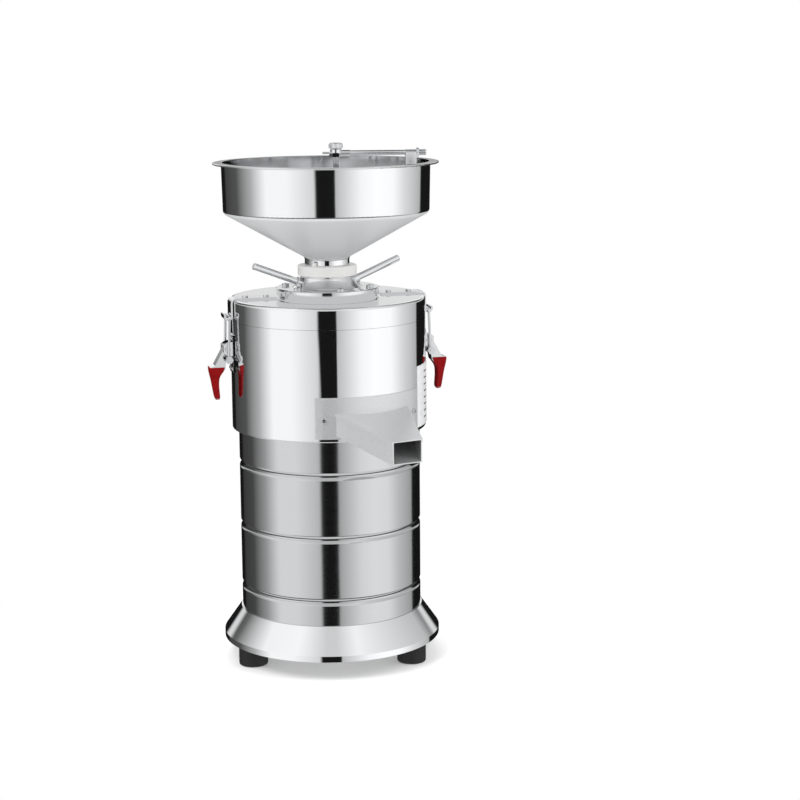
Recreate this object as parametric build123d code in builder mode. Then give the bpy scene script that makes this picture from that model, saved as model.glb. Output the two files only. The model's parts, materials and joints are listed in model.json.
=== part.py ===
from build123d import *
import math
import os

os.makedirs("parts", exist_ok=True)

# A table-top peanut butter mill. Origin: on the table at the mill axis, +Z up the axis, outlet
# chute towards -Y. Angles go round the axis from the chute and are positive towards +X.

# Shared values
sheet = 1.5
slip = 0.3
running_gap = 0.05
seat_gap = 0.05

# Feet and base
foot_radius = 19.5
foot_height = 31.0
foot_outset = 1.0
foot_count = 3
foot_angle = -87.0
foot_edge = 3.0
foot_recess_radius = 9.0
foot_recess_depth = 12.0
foot_bolt_radius = 4.0
foot_bolt_head_height = 5.3
base_plate_thickness = 3.0
skirt_flare = 25.1
skirt_lip_drop = 4.0
skirt_lip_height = 8.0
skirt_cone_height = 33.5
vent_count = 8
vent_circle = 72.0
vent_length = 34.0
vent_width = 7.0

# Motor column
housing_radius = 122.5
housing_height = 283.0
housing_flange = 12.0
groove_count = 3
groove_width = 10.5
groove_depth = 2.0
groove_first = 67.0
groove_pitch = 84.5
shaft_radius = 12.5
air_gap = 0.5
stator_inset = 22.0
stator_bore = 52.0
stator_height = 100.0
winding_height = 24.0
winding_gap = 4.0
winding_wall = 24.0
winding_edge = 6.0
motor_frame_wall = 4.0
motor_frame_height = 205.0
shield_thickness = 10.0
motor_flange_gap = 4.5
motor_screw_inset = 9.0
motor_screw_count = 4
floor_screw_count = 6
screw_radius = 2.5
screw_head_radius = 4.2
screw_head_height = 2.8
screw_grip = 4.5
screw_end = 3.0
bearing_radius = 26.0
bearing_height = 15.0
bearing_race = 4.0
bearing_wall = 8.0
ball_count = 10
fan_radius = 72.0
fan_hub_radius = 20.0
fan_height = 18.0
fan_blade_count = 9
fan_disc = 2.5
fan_blade_thickness = 2.0
fan_clearance = 4.0
shaft_foot = 22.0
capacitor_radius = 14.0
capacitor_height = 80.0
capacitor_angle = 60.0
capacitor_edge = 2.0
capacitor_tag_spacing = 10.0
capacitor_tag_width = 6.0
capacitor_tag_thickness = 0.8
capacitor_tag_height = 7.0

# Grinding drum
drum_overhang = 8.5
drum_height = 147.0
drum_wall = 2.0
floor_thickness = 9.0
seal_boss_radius = 24.0
seal_boss_height = 14.0
seal_radius = 19.0
seal_height = 8.0
ledge_width = 8.5
ledge_thickness = 2.8

# Lid
lid_gap = 0.3
lid_height = 28.3
lid_wall = 2.0
lid_top_thickness = 3.4
lid_edge = 4.0
gasket_height = 2.7
gasket_width = 6.5

# Grinding stones, their carrier and their feed sleeve
stone_radius = 60.0
lower_stone_height = 18.5
upper_stone_height = 18.0
stone_clearance = 0.5
stone_level = 456.0
stone_groove_count = 12
stone_groove_width = 3.0
stone_groove_depth = 1.5
throat_radius = 28.4
stone_eye_radius = 38.0
nut_recess_radius = 18.0
nut_recess_depth = 8.5
shaft_nut_radius = 15.0
shaft_nut_height = 7.0
carrier_radius = 58.0
carrier_plate = 8.0
carrier_neck_radius = 36.0
carrier_neck_level = 392.0
carrier_wall = 8.0
blade_count = 3
blade_thickness = 5.0
blade_height = 24.0
blade_gap = 1.5
sleeve_radius = 33.0
sleeve_flange_radius = 56.0
sleeve_flange_thickness = 6.0
key_width = 8.0
key_depth = 2.2

# Adjuster on the lid
seat_ring_inset = 2.5
seat_ring_height = 3.6
flange_ring_radius = 69.0
flange_ring_height = 9.0
flange_lip = 3.6
flange_bolt_inset = 11.0
flange_bolt_count = 6
flange_bolt_turn = 20.0
flange_bolt_radius = 2.5
flange_bolt_head_radius = 5.0
flange_bolt_head_height = 3.4
flange_bolt_head_edge = 1.5
flange_bolt_key_radius = 2.2
flange_bolt_key_depth = 2.0
hub_radius = 46.5
hub_top_radius = 35.5
hub_collar = 5.0
hub_rise = 13.7
rod_angle = -93.0
rod_radius = 4.6
rod_length = 74.5
rod_rise_angle = 21.0
rod_root = 36.5
rod_drop = 7.4
rod_boss_radius = 6.4
rod_boss_length = 9.0
nylon_radius = 39.5
nylon_height = 14.0
nylon_gap = 1.8
lug_width = 4.6
lug_rise = 5.0
lug_root = 6.0
lug_depth = 5.6
lug_reach = 1.0

# Hopper
hopper_sheet = 1.5
neck_radius = 29.9
neck_depth = 24.5
cone_level = 545.0
cone_height = 60.0
bowl_radius = 137.4
bowl_top_radius = 138.8
bowl_height = 66.0
neck_knuckle = 5.0
bowl_knuckle = 7.0
rim_width = 11.2
rim_bead = 1.3
neck_slot_width = 5.2
neck_slot_height = 45.0
neck_slot_angle = -57.0

# Latches and hook straps
latch_angle = -104.5
strap_width = 26.0
strap_thickness = 2.5
strap_start_gap = 5.5
strap_bend = 5.5
hook_inner_radius = 3.4
hook_rise_from_drum_top = 7.6
hook_tip_rise = 2.6
strap_rivet_radius = 4.0
strap_rivet_height = 2.0
strap_rivet_taper = 25.0
strap_rivet_inset = 12.0
strap_rivet_edge = 19.0
pivot_offset = 7.5
pivot_drop = 36.5
crank = 13.0
pin_radius = 2.5
pin_head_radius = 3.8
pin_head_height = 1.5
latch_plate_thickness = 2.0
latch_plate_height = 50.0
latch_plate_drop = 18.5
latch_plate_half_angle = 5.2
ear_gap = 20.0
ear_thickness = 2.0
lever_width = 18.8
lever_wall = 2.2
lever_nose = 4.5
lever_boss_radius = 5.0
lever_top_reach = 4.7
lever_top_rise = 1.7
lever_knee_reach = 17.5
lever_knee_drop = 21.5
lever_waist_reach = 4.0
lever_waist_drop = 27.0
ear_reach = 6.0
ear_rise = 9.5
ear_drop = 9.0
bail_rod = 3.4
bail_span = 32.0
bail_eye_radius = 4.3
bail_eye_width = 4.2
bail_inset = 0.9
bail_bend = 3.0
bail_drop = 0.1
nut_radius = 5.2
nut_height = 4.5
grip_width = 19.0
grip_drop = 30.5
grip_length = 43.0
grip_back_reach = 23.5
grip_front_reach = 7.0
grip_bend_drop = 12.0
grip_bend_reach = 12.6
grip_tip_reach = 18.0
grip_tip_depth = 8.2
grip_edge = 2.0
tang_length = 36.0
tang_depth = 3.0
tang_width = 13.0

# Outlet chute
chute_height = 30.0
chute_root_half_width = 54.0
chute_mouth_half_width = 22.2
chute_reach = 215.9
chute_root_rise = 39.7
chute_fall = 25.2
chute_wall = 1.3
cover_sheet = 1.2
cover_lip = 4.5
chute_plate_half_angle = 35.0
chute_plate_rise = 5.0
chute_plate_height = 54.0
chute_plate_thickness = 1.5
window_half_width = 50.0
window_rise = 11.0
window_height = 23.5
chute_screw_angle = 30.0
chute_screw_rise = 30.0
chute_screw_radius = 2.0
chute_screw_head_radius = 3.4
chute_screw_head_height = 2.2
chute_screw_length = 4.8
chute_screw_taper = 15.0
chute_screw_slot_length = 3.8
chute_screw_slot_width = 0.9
chute_screw_slot_depth = 1.2

# Small curved plate on the drum
plate_start_angle = 35.5
plate_span_angle = 26.0
plate_rise = 5.0
plate_height = 82.0
plate_thickness = 1.0

# Water tap on the hopper rim, laid out along a line that crosses the rim
tap_turn = -27.0
tap_depth = 86.0
tap_place = 13.0
pipe_radius = 3.5
pipe_bore = 2.7
pipe_rise = 16.2
pipe_overhang = 1.6
pipe_bend = 6.0
pipe_drop = 8.0
pipe_socket = 6.0
valve_radius = 8.0
valve_height = 9.3
valve_hex_height = 5.0
valve_port_radius = 5.0
valve_port_length = 10.0
valve_plug_radius = 1.5
valve_plug_length = 17.0
spigot_length = 18.0
knob_radius = 9.0
knob_height = 8.0
knob_flute_count = 12
knob_flute_radius = 1.3
knob_flute_offset = 0.6
stem_radius = 2.0
stem_length = 5.0
clamp_offset = 0.35
clamp_width = 11.4
clamp_thickness = 3.0
clamp_riser = 5.2
clamp_jaw_drop = 7.0
clamp_screw_radius = 2.5
clamp_knob_radius = 5.5
clamp_knob_height = 5.0
clamp_screw_reach = 6.0

# Rear switch and cable gland
rear_angle = 150.0
switch_level = 142.0
switch_width = 20.0
switch_height = 28.0
switch_depth = 20.0
switch_bezel = 3.0
switch_bezel_thickness = 2.5
rocker_margin = 2.5
rocker_pivot_depth = 5.0
rocker_tilt_angle = 8.0
rocker_pin_radius = 1.5
rocker_pin_length = 2.0
rocker_proud = 2.0
rocker_dish = 2.5
rocker_keel = 3.0
gland_level = 88.0
gland_radius = 9.0
gland_thread_radius = 6.0
gland_bore = 3.6
gland_length = 13.0
gland_nut_height = 5.0
gland_cap_radius = 7.0
gland_mouth_radius = 5.4
gland_tail = 12.0

# Radii round the axis
foot_circle = housing_radius + foot_outset
skirt_radius = housing_radius + skirt_flare
motor_flange_radius = housing_radius - housing_flange - motor_flange_gap
motor_screw_circle = motor_flange_radius - motor_screw_inset
stator_radius = motor_flange_radius - stator_inset
drum_radius = housing_radius + drum_overhang
seat_ring_radius = flange_ring_radius - seat_ring_inset
flange_bolt_circle = flange_ring_radius - flange_bolt_inset
strap_start = seat_ring_radius + strap_start_gap
strap_rivet_places = (strap_start + strap_rivet_inset, drum_radius - strap_rivet_edge)
rim_radius = bowl_top_radius + rim_width
pivot_radius = drum_radius + pivot_offset

# Levels up the axis
plate_bottom_level = foot_height
plate_top_level = plate_bottom_level + base_plate_thickness
skirt_bottom_level = plate_bottom_level - skirt_lip_drop
skirt_cone_level = skirt_bottom_level + skirt_lip_height
housing_top_level = plate_top_level + housing_height
floor_top_level = housing_top_level + floor_thickness
drum_top_level = housing_top_level + drum_height
lid_bottom_level = drum_top_level + lid_gap
lid_top_level = lid_bottom_level + lid_height
gasket_top_level = drum_top_level + gasket_height
seat_top_level = lid_top_level + seat_ring_height
flange_top_level = seat_top_level + flange_ring_height
hub_top_level = flange_top_level + hub_rise
nylon_bottom_level = hub_top_level + nylon_gap
nylon_top_level = nylon_bottom_level + nylon_height
neck_bottom_level = nylon_bottom_level - neck_depth
rim_level = cone_level + cone_height + bowl_height
motor_top_level = housing_top_level - shield_thickness
motor_bottom_level = motor_top_level - motor_frame_height
stator_middle_level = (motor_top_level + motor_bottom_level) / 2
lower_stone_bottom = stone_level - stone_clearance - lower_stone_height
shaft_top_level = stone_level - stone_clearance - 1.5
pivot_level = drum_top_level - pivot_drop
pipe_level = rim_level + pipe_rise
valve_bottom_level = pipe_level - valve_height / 2 - 0.15


def direction(angle):
    """Unit vector outwards at an angle round the axis."""
    return Vector(math.sin(math.radians(angle)), -math.cos(math.radians(angle)), 0)


def tangent(angle):
    """Unit vector along the circle at an angle round the axis."""
    return Vector(math.cos(math.radians(angle)), math.sin(math.radians(angle)), 0)


def at_angle(angle, radius, level=0.0):
    """Point at an angle, a radius and a level."""
    return direction(angle) * radius + Vector(0, 0, level)


def radial_plane(angle, aside=0.0):
    """Plane with x along the radius and y up the axis, moved aside along the circle."""
    return Plane(origin=tangent(angle) * aside, x_dir=direction(angle), z_dir=-tangent(angle))


def face_plane(angle, radius, level):
    """Plane that faces outwards at a radius and a level, with y up the axis."""
    return Plane(origin=at_angle(angle, radius, level), x_dir=tangent(angle), z_dir=direction(angle))


# Rubber feet, each with a recess for its bolt head
foot_places = [at_angle(foot_angle + 360 / foot_count * i, foot_circle) for i in range(foot_count)]
with BuildPart() as rubber_feet:
    with BuildSketch():
        with Locations(*foot_places):
            Circle(foot_radius)
    extrude(amount=foot_height)
    fillet(rubber_feet.edges().group_by(Axis.Z)[0], radius=foot_edge)
    with BuildSketch():
        with Locations(*foot_places):
            Circle(foot_recess_radius)
    extrude(amount=foot_recess_depth, mode=Mode.SUBTRACT)
    with BuildSketch():
        with Locations(*foot_places):
            Circle(foot_bolt_radius + running_gap)
    extrude(amount=foot_height, mode=Mode.SUBTRACT)
rubber_feet.part.label = "rubber_feet"
export_step(rubber_feet.part, "parts/rubber_feet.step")

# Foot bolts, screwed into the bottom plate and flush with its top
foot_bolt_bottom = foot_recess_depth - foot_bolt_head_height
with BuildPart() as foot_bolts:
    with BuildSketch(Plane.XY.offset(foot_bolt_bottom)):
        with Locations(*foot_places):
            RegularPolygon(foot_recess_radius - 1.5, 6)
    extrude(amount=foot_bolt_head_height)
    with BuildSketch(Plane.XY.offset(foot_bolt_bottom)):
        with Locations(*foot_places):
            Circle(foot_bolt_radius)
    extrude(amount=plate_top_level - foot_bolt_bottom)
foot_bolts.part.label = "foot_bolts"
export_step(foot_bolts.part, "parts/foot_bolts.step")

# Screws of the housing: base plate to housing between the feet, housing to chamber floor, and
# motor flange to chamber floor
screw_circle = housing_radius - housing_flange / 2
base_screw_places = [
    at_angle(foot_angle + 360 / foot_count * (i + 0.5), screw_circle, plate_bottom_level)
    for i in range(foot_count)
]
floor_screw_places = [
    at_angle(360 / floor_screw_count * i, screw_circle, housing_top_level - sheet)
    for i in range(floor_screw_count)
]
motor_screw_places = [
    at_angle(360 / motor_screw_count * (i + 0.5), motor_screw_circle, motor_top_level)
    for i in range(motor_screw_count)
]
with BuildPart() as housing_screws:
    for places, depth in (
        (base_screw_places, base_plate_thickness + sheet + screw_end),
        (floor_screw_places, sheet + screw_grip),
        (motor_screw_places, shield_thickness + screw_grip),
    ):
        with Locations(*places):
            Cylinder(
                screw_head_radius,
                screw_head_height,
                align=(Align.CENTER, Align.CENTER, Align.MAX),
            )
            Cylinder(screw_radius, depth, align=(Align.CENTER, Align.CENTER, Align.MIN))
housing_screws.part.label = "housing_screws"
export_step(housing_screws.part, "parts/housing_screws.step")

# Bottom plate with vent slots for the fan
with BuildPart() as bottom_plate:
    with BuildSketch(Plane.XY.offset(plate_bottom_level)):
        Circle(skirt_radius - sheet - slip)
        with PolarLocations(vent_circle, vent_count):
            SlotOverall(vent_length, vent_width, mode=Mode.SUBTRACT)
        with Locations(*foot_places):
            Circle(foot_bolt_radius + running_gap, mode=Mode.SUBTRACT)
        with Locations(*[(place.X, place.Y) for place in base_screw_places]):
            Circle(screw_radius + running_gap, mode=Mode.SUBTRACT)
    extrude(amount=base_plate_thickness)
bottom_plate.part.label = "bottom_plate"
export_step(bottom_plate.part, "parts/bottom_plate.step")

# Base skirt: a spun cone round the foot of the housing with an upright lip
skirt_top_radius = housing_radius + seat_gap + sheet
skirt_top_level = skirt_cone_level + skirt_cone_height
with BuildPart() as base_skirt:
    with BuildSketch(Plane.XZ):
        with BuildLine():
            Polyline(
                (skirt_radius, skirt_bottom_level),
                (skirt_radius, skirt_cone_level),
                (skirt_top_radius, skirt_top_level),
                (skirt_top_radius - sheet, skirt_top_level),
                (skirt_top_radius - sheet, skirt_top_level - 2 * sheet),
                (skirt_radius - sheet, skirt_cone_level - sheet / 2),
                (skirt_radius - sheet, skirt_bottom_level),
                close=True,
            )
        make_face()
    revolve(axis=Axis.Z)
base_skirt.part.label = "base_skirt"
export_step(base_skirt.part, "parts/base_skirt.step")

# Motor housing: a rolled tube with three grooves and a flange turned in at each end
groove_levels = [plate_top_level + groove_first + groove_pitch * i for i in range(groove_count)]


def wall_line(radius, bottom, top):
    """Points of the housing wall at a radius, with its grooves, from the bottom to the top."""
    start = (radius, bottom)
    for level in groove_levels:
        low = (radius, level - groove_width / 2)
        high = (radius, level + groove_width / 2)
        Line(start, low)
        ThreePointArc(low, (radius - groove_depth, level), high)
        start = high
    Line(start, (radius, top))


housing_flange_radius = housing_radius - housing_flange
with BuildPart() as motor_housing:
    with BuildSketch(Plane.XZ):
        with BuildLine():
            wall_line(housing_radius, plate_top_level, housing_top_level)
            wall_line(housing_radius - sheet, plate_top_level + sheet, housing_top_level - sheet)
            Polyline(
                (housing_radius, plate_top_level),
                (housing_flange_radius, plate_top_level),
                (housing_flange_radius, plate_top_level + sheet),
                (housing_radius - sheet, plate_top_level + sheet),
            )
            Polyline(
                (housing_radius, housing_top_level),
                (housing_flange_radius, housing_top_level),
                (housing_flange_radius, housing_top_level - sheet),
                (housing_radius - sheet, housing_top_level - sheet),
            )
        make_face()
    revolve(axis=Axis.Z)
    with BuildSketch(face_plane(rear_angle, housing_radius - 3 * sheet, switch_level)):
        Rectangle(switch_width + slip, switch_height + slip)
    extrude(amount=6 * sheet, mode=Mode.SUBTRACT)
    with BuildSketch(face_plane(rear_angle, housing_radius - 3 * sheet, gland_level)):
        Circle(gland_thread_radius + slip / 2)
    extrude(amount=6 * sheet, mode=Mode.SUBTRACT)
    with BuildSketch(Plane.XY.offset(plate_top_level)):
        with Locations(*[(place.X, place.Y) for place in base_screw_places]):
            Circle(screw_radius + running_gap)
    extrude(amount=sheet, mode=Mode.SUBTRACT)
    with BuildSketch(Plane.XY.offset(housing_top_level)):
        with Locations(*[(place.X, place.Y) for place in floor_screw_places]):
            Circle(screw_radius + running_gap)
    extrude(amount=-sheet, mode=Mode.SUBTRACT)
motor_housing.part.label = "motor_housing"
export_step(motor_housing.part, "parts/motor_housing.step")

# Upper end shield: hangs the motor from the drum floor and seats the upper bearing
with BuildPart() as upper_shield:
    with BuildSketch(Plane.XZ):
        with BuildLine():
            Polyline(
                (shaft_radius + 1.5, housing_top_level),
                (motor_flange_radius, housing_top_level),
                (motor_flange_radius, motor_top_level),
                (bearing_radius + bearing_wall, motor_top_level),
                (bearing_radius + bearing_wall, motor_top_level - bearing_height),
                (bearing_radius, motor_top_level - bearing_height),
                (bearing_radius, motor_top_level),
                (shaft_radius + 1.5, motor_top_level),
                close=True,
            )
        make_face()
    revolve(axis=Axis.Z)
    with BuildSketch(Plane.XY.offset(motor_top_level)):
        with Locations(*[(place.X, place.Y) for place in motor_screw_places]):
            Circle(screw_radius + running_gap)
    extrude(amount=shield_thickness, mode=Mode.SUBTRACT)
upper_shield.part.label = "upper_shield"
export_step(upper_shield.part, "parts/upper_shield.step")

# Motor frame tube
motor_frame_radius = stator_radius + motor_frame_wall
with BuildPart() as motor_frame:
    with BuildSketch(Plane.XY.offset(motor_bottom_level)):
        Circle(motor_frame_radius)
        Circle(stator_radius, mode=Mode.SUBTRACT)
    extrude(amount=motor_frame_height)
motor_frame.part.label = "motor_frame"
export_step(motor_frame.part, "parts/motor_frame.step")

# Lower end shield with the lower bearing seat
lower_shield_bottom = motor_bottom_level - shield_thickness
with BuildPart() as lower_shield:
    with BuildSketch(Plane.XZ):
        with BuildLine():
            Polyline(
                (shaft_radius + 1.5, lower_shield_bottom),
                (motor_frame_radius, lower_shield_bottom),
                (motor_frame_radius, motor_bottom_level),
                (bearing_radius + bearing_wall, motor_bottom_level),
                (bearing_radius + bearing_wall, motor_bottom_level + bearing_height),
                (bearing_radius, motor_bottom_level + bearing_height),
                (bearing_radius, motor_bottom_level),
                (shaft_radius + 1.5, motor_bottom_level),
                close=True,
            )
        make_face()
    revolve(axis=Axis.Z)
lower_shield.part.label = "lower_shield"
export_step(lower_shield.part, "parts/lower_shield.step")

# Ball bearings, each as an outer race, an inner race and the balls between them
for bearing_name, bearing_bottom in (
    ("upper_bearing", motor_top_level - bearing_height),
    ("lower_bearing", motor_bottom_level),
):
    inner_race_radius = shaft_radius + running_gap + bearing_race
    outer_race_radius = bearing_radius - bearing_race
    ball_circle = (inner_race_radius + outer_race_radius) / 2
    ball_radius = (outer_race_radius - inner_race_radius) / 2 - 0.02
    with BuildPart() as bearing:
        with BuildSketch(Plane.XY.offset(bearing_bottom)):
            Circle(bearing_radius)
            Circle(outer_race_radius, mode=Mode.SUBTRACT)
            Circle(inner_race_radius)
            Circle(shaft_radius + running_gap, mode=Mode.SUBTRACT)
        extrude(amount=bearing_height)
        with Locations((0, 0, bearing_bottom + bearing_height / 2)):
            with PolarLocations(ball_circle, ball_count):
                Sphere(ball_radius)
    bearing.part.label = bearing_name
    export_step(bearing.part, f"parts/{bearing_name}.step")

# Stator core as a plain ring, and the windings above and below it
with BuildPart() as stator_core:
    with BuildSketch(Plane.XY.offset(stator_middle_level - stator_height / 2)):
        Circle(stator_radius - seat_gap)
        Circle(stator_bore, mode=Mode.SUBTRACT)
    extrude(amount=stator_height)
stator_core.part.label = "stator_core"
export_step(stator_core.part, "parts/stator_core.step")

with BuildPart() as stator_windings:
    for winding_start, winding_rise in (
        (stator_middle_level + stator_height / 2, winding_height),
        (stator_middle_level - stator_height / 2, -winding_height),
    ):
        with BuildSketch(Plane.XY.offset(winding_start)):
            Circle(stator_bore + winding_gap + winding_wall)
            Circle(stator_bore + winding_gap, mode=Mode.SUBTRACT)
        extrude(amount=winding_rise)
    fillet(
        stator_windings.edges().group_by(Axis.Z)[-1] + stator_windings.edges().group_by(Axis.Z)[0],
        radius=winding_edge,
    )
stator_windings.part.label = "stator_windings"
export_step(stator_windings.part, "parts/stator_windings.step")

# Rotor core
with BuildPart() as rotor_core:
    with BuildSketch(Plane.XY.offset(stator_middle_level - stator_height / 2)):
        Circle(stator_bore - air_gap)
        Circle(shaft_radius, mode=Mode.SUBTRACT)
    extrude(amount=stator_height)
rotor_core.part.label = "rotor_core"
export_step(rotor_core.part, "parts/rotor_core.step")

# Shaft from the fan up to the lower stone, with a threaded nose for the nut
shaft_bottom_level = lower_shield_bottom - shaft_foot
shaft_shoulder_level = stone_level - stone_clearance - nut_recess_depth
shaft_nose_radius = shaft_radius - 2.5
with BuildPart() as motor_shaft:
    with BuildSketch(Plane.XY.offset(shaft_bottom_level)):
        Circle(shaft_radius)
    extrude(amount=shaft_shoulder_level - shaft_bottom_level)
    with BuildSketch(Plane.XY.offset(shaft_shoulder_level)):
        Circle(shaft_nose_radius)
    extrude(amount=shaft_top_level - shaft_shoulder_level)
    chamfer(motor_shaft.edges().group_by(Axis.Z)[-1], length=1)
motor_shaft.part.label = "motor_shaft"
export_step(motor_shaft.part, "parts/motor_shaft.step")

# Cooling fan under the motor
fan_bottom_level = lower_shield_bottom - fan_clearance - fan_height
with BuildPart() as cooling_fan:
    with BuildSketch(Plane.XY.offset(fan_bottom_level)):
        Circle(fan_radius)
    extrude(amount=fan_disc)
    with BuildSketch(Plane.XY.offset(fan_bottom_level)):
        Circle(fan_hub_radius)
    extrude(amount=fan_height)
    with BuildSketch(Plane.XY.offset(fan_bottom_level)):
        with PolarLocations((fan_radius + fan_hub_radius) / 2 - 1, fan_blade_count):
            Rectangle(fan_radius - fan_hub_radius, fan_blade_thickness)
    extrude(amount=fan_height)
    with BuildSketch(Plane.XY.offset(fan_bottom_level)):
        Circle(shaft_radius)
    extrude(amount=fan_height, mode=Mode.SUBTRACT)
cooling_fan.part.label = "cooling_fan"
export_step(cooling_fan.part, "parts/cooling_fan.step")

# Run capacitor beside the motor, standing on the housing flange
capacitor_place = (motor_frame_radius + housing_radius - sheet - groove_depth) / 2
with BuildPart() as run_capacitor:
    with BuildSketch(Plane.XY.offset(plate_top_level + sheet)):
        with Locations(at_angle(capacitor_angle, capacitor_place)):
            Circle(capacitor_radius)
    extrude(amount=capacitor_height)
    fillet(run_capacitor.edges().group_by(Axis.Z)[-1], radius=capacitor_edge)
    with BuildSketch(Plane.XY.offset(plate_top_level + sheet + capacitor_height)):
        with Locations(at_angle(capacitor_angle, capacitor_place)):
            with GridLocations(capacitor_tag_spacing, 0, 2, 1):
                Rectangle(capacitor_tag_thickness, capacitor_tag_width)
    extrude(amount=capacitor_tag_height)
run_capacitor.part.label = "run_capacitor"
export_step(run_capacitor.part, "parts/run_capacitor.step")

# Rear rocker switch: housing with a bezel, and the rocker that tips in it
switch_face = housing_radius + slip / 2
rocker_pivot_radius = switch_face - rocker_pivot_depth
rocker_half_height = switch_height / 2 - rocker_margin - 1.7
rocker_half_width = switch_width / 2 - rocker_margin - slip
rocker_pin_reach = rocker_half_width + rocker_pin_length
with BuildPart() as switch_housing:
    with BuildSketch(face_plane(rear_angle, switch_face, switch_level)):
        RectangleRounded(switch_width + 2 * switch_bezel, switch_height + 2 * switch_bezel, 2)
    extrude(amount=switch_bezel_thickness)
    with BuildSketch(face_plane(rear_angle, switch_face, switch_level)):
        Rectangle(switch_width, switch_height)
    extrude(amount=-switch_depth)
    with BuildSketch(face_plane(rear_angle, switch_face + switch_bezel_thickness, switch_level)):
        Rectangle(switch_width - 2 * rocker_margin, switch_height - 2 * rocker_margin)
    extrude(amount=-(switch_bezel_thickness + switch_depth - 4), mode=Mode.SUBTRACT)
    with BuildSketch(radial_plane(rear_angle)):
        with Locations((rocker_pivot_radius, switch_level)):
            Circle(rocker_pin_radius + running_gap)
    extrude(amount=rocker_pin_reach + running_gap, both=True, mode=Mode.SUBTRACT)
switch_housing.part.label = "switch_housing"
export_step(switch_housing.part, "parts/switch_housing.step")

rocker_tilt_radians = math.radians(rocker_tilt_angle)
with BuildPart() as switch_rocker:
    rocker_plane = Plane(
        origin=at_angle(rear_angle, rocker_pivot_radius, switch_level),
        x_dir=direction(rear_angle) * math.cos(rocker_tilt_radians)
        + Vector(0, 0, math.sin(rocker_tilt_radians)),
        z_dir=-tangent(rear_angle),
    )
    with BuildSketch(rocker_plane):
        with BuildLine():
            rocker_top = rocker_pivot_depth + switch_bezel_thickness + rocker_proud
            rocker_base = Polyline(
                (rocker_top, rocker_half_height),
                (0, rocker_half_height * 0.7),
                (-rocker_keel, rocker_keel),
                (-rocker_keel, -rocker_keel),
                (0, -rocker_half_height * 0.7),
                (rocker_top, -rocker_half_height),
            )
            ThreePointArc(rocker_base @ 1, (rocker_top - rocker_dish, 0), rocker_base @ 0)
        make_face()
    extrude(amount=rocker_half_width, both=True)
    with BuildSketch(rocker_plane):
        Circle(rocker_pin_radius)
    extrude(amount=rocker_pin_reach, both=True)
switch_rocker.part.label = "switch_rocker"
export_step(switch_rocker.part, "parts/switch_rocker.step")

# Cable gland with an open bore
with BuildPart() as cable_gland:
    with BuildSketch(face_plane(rear_angle, switch_face, gland_level)):
        RegularPolygon(gland_radius, 6)
    extrude(amount=gland_nut_height)
    with BuildSketch(face_plane(rear_angle, switch_face, gland_level)):
        Circle(gland_cap_radius)
    extrude(amount=gland_length - 3)
    with BuildSketch(face_plane(rear_angle, switch_face, gland_level)):
        Circle(gland_mouth_radius)
    extrude(amount=gland_length)
    with BuildSketch(face_plane(rear_angle, switch_face, gland_level)):
        Circle(gland_thread_radius)
    extrude(amount=-gland_tail)
    with BuildSketch(face_plane(rear_angle, switch_face - gland_tail, gland_level)):
        Circle(gland_bore)
    extrude(amount=gland_length + gland_tail, mode=Mode.SUBTRACT)
cable_gland.part.label = "cable_gland"
export_step(cable_gland.part, "parts/cable_gland.step")

# Chamber floor on top of the housing, with the boss for the shaft seal
floor_radius = drum_radius - drum_wall - slip / 2
with BuildPart() as chamber_floor:
    with BuildSketch(Plane.XZ):
        with BuildLine():
            Polyline(
                (shaft_radius + 0.5, housing_top_level),
                (housing_radius + slip, housing_top_level),
                (housing_radius + slip, housing_top_level + drum_wall),
                (floor_radius, housing_top_level + drum_wall),
                (floor_radius, floor_top_level),
                (seal_boss_radius, floor_top_level),
                (seal_boss_radius, floor_top_level + seal_boss_height),
                (seal_radius, floor_top_level + seal_boss_height),
                (seal_radius, floor_top_level + seal_boss_height - seal_height),
                (shaft_radius + 0.5, floor_top_level + seal_boss_height - seal_height),
                close=True,
            )
        make_face()
    revolve(axis=Axis.Z)
    with BuildSketch(Plane.XY.offset(housing_top_level)):
        with Locations(*[(place.X, place.Y) for place in floor_screw_places + motor_screw_places]):
            Circle(screw_radius + running_gap)
    extrude(amount=screw_grip, mode=Mode.SUBTRACT)
chamber_floor.part.label = "chamber_floor"
export_step(chamber_floor.part, "parts/chamber_floor.step")

# Lip seal round the shaft
with BuildPart() as shaft_seal:
    with BuildSketch(Plane.XY.offset(floor_top_level + seal_boss_height - seal_height)):
        Circle(seal_radius - seat_gap)
        Circle(shaft_radius + slip, mode=Mode.SUBTRACT)
    extrude(amount=seal_height - 1)
shaft_seal.part.label = "shaft_seal"
export_step(shaft_seal.part, "parts/shaft_seal.step")

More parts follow.
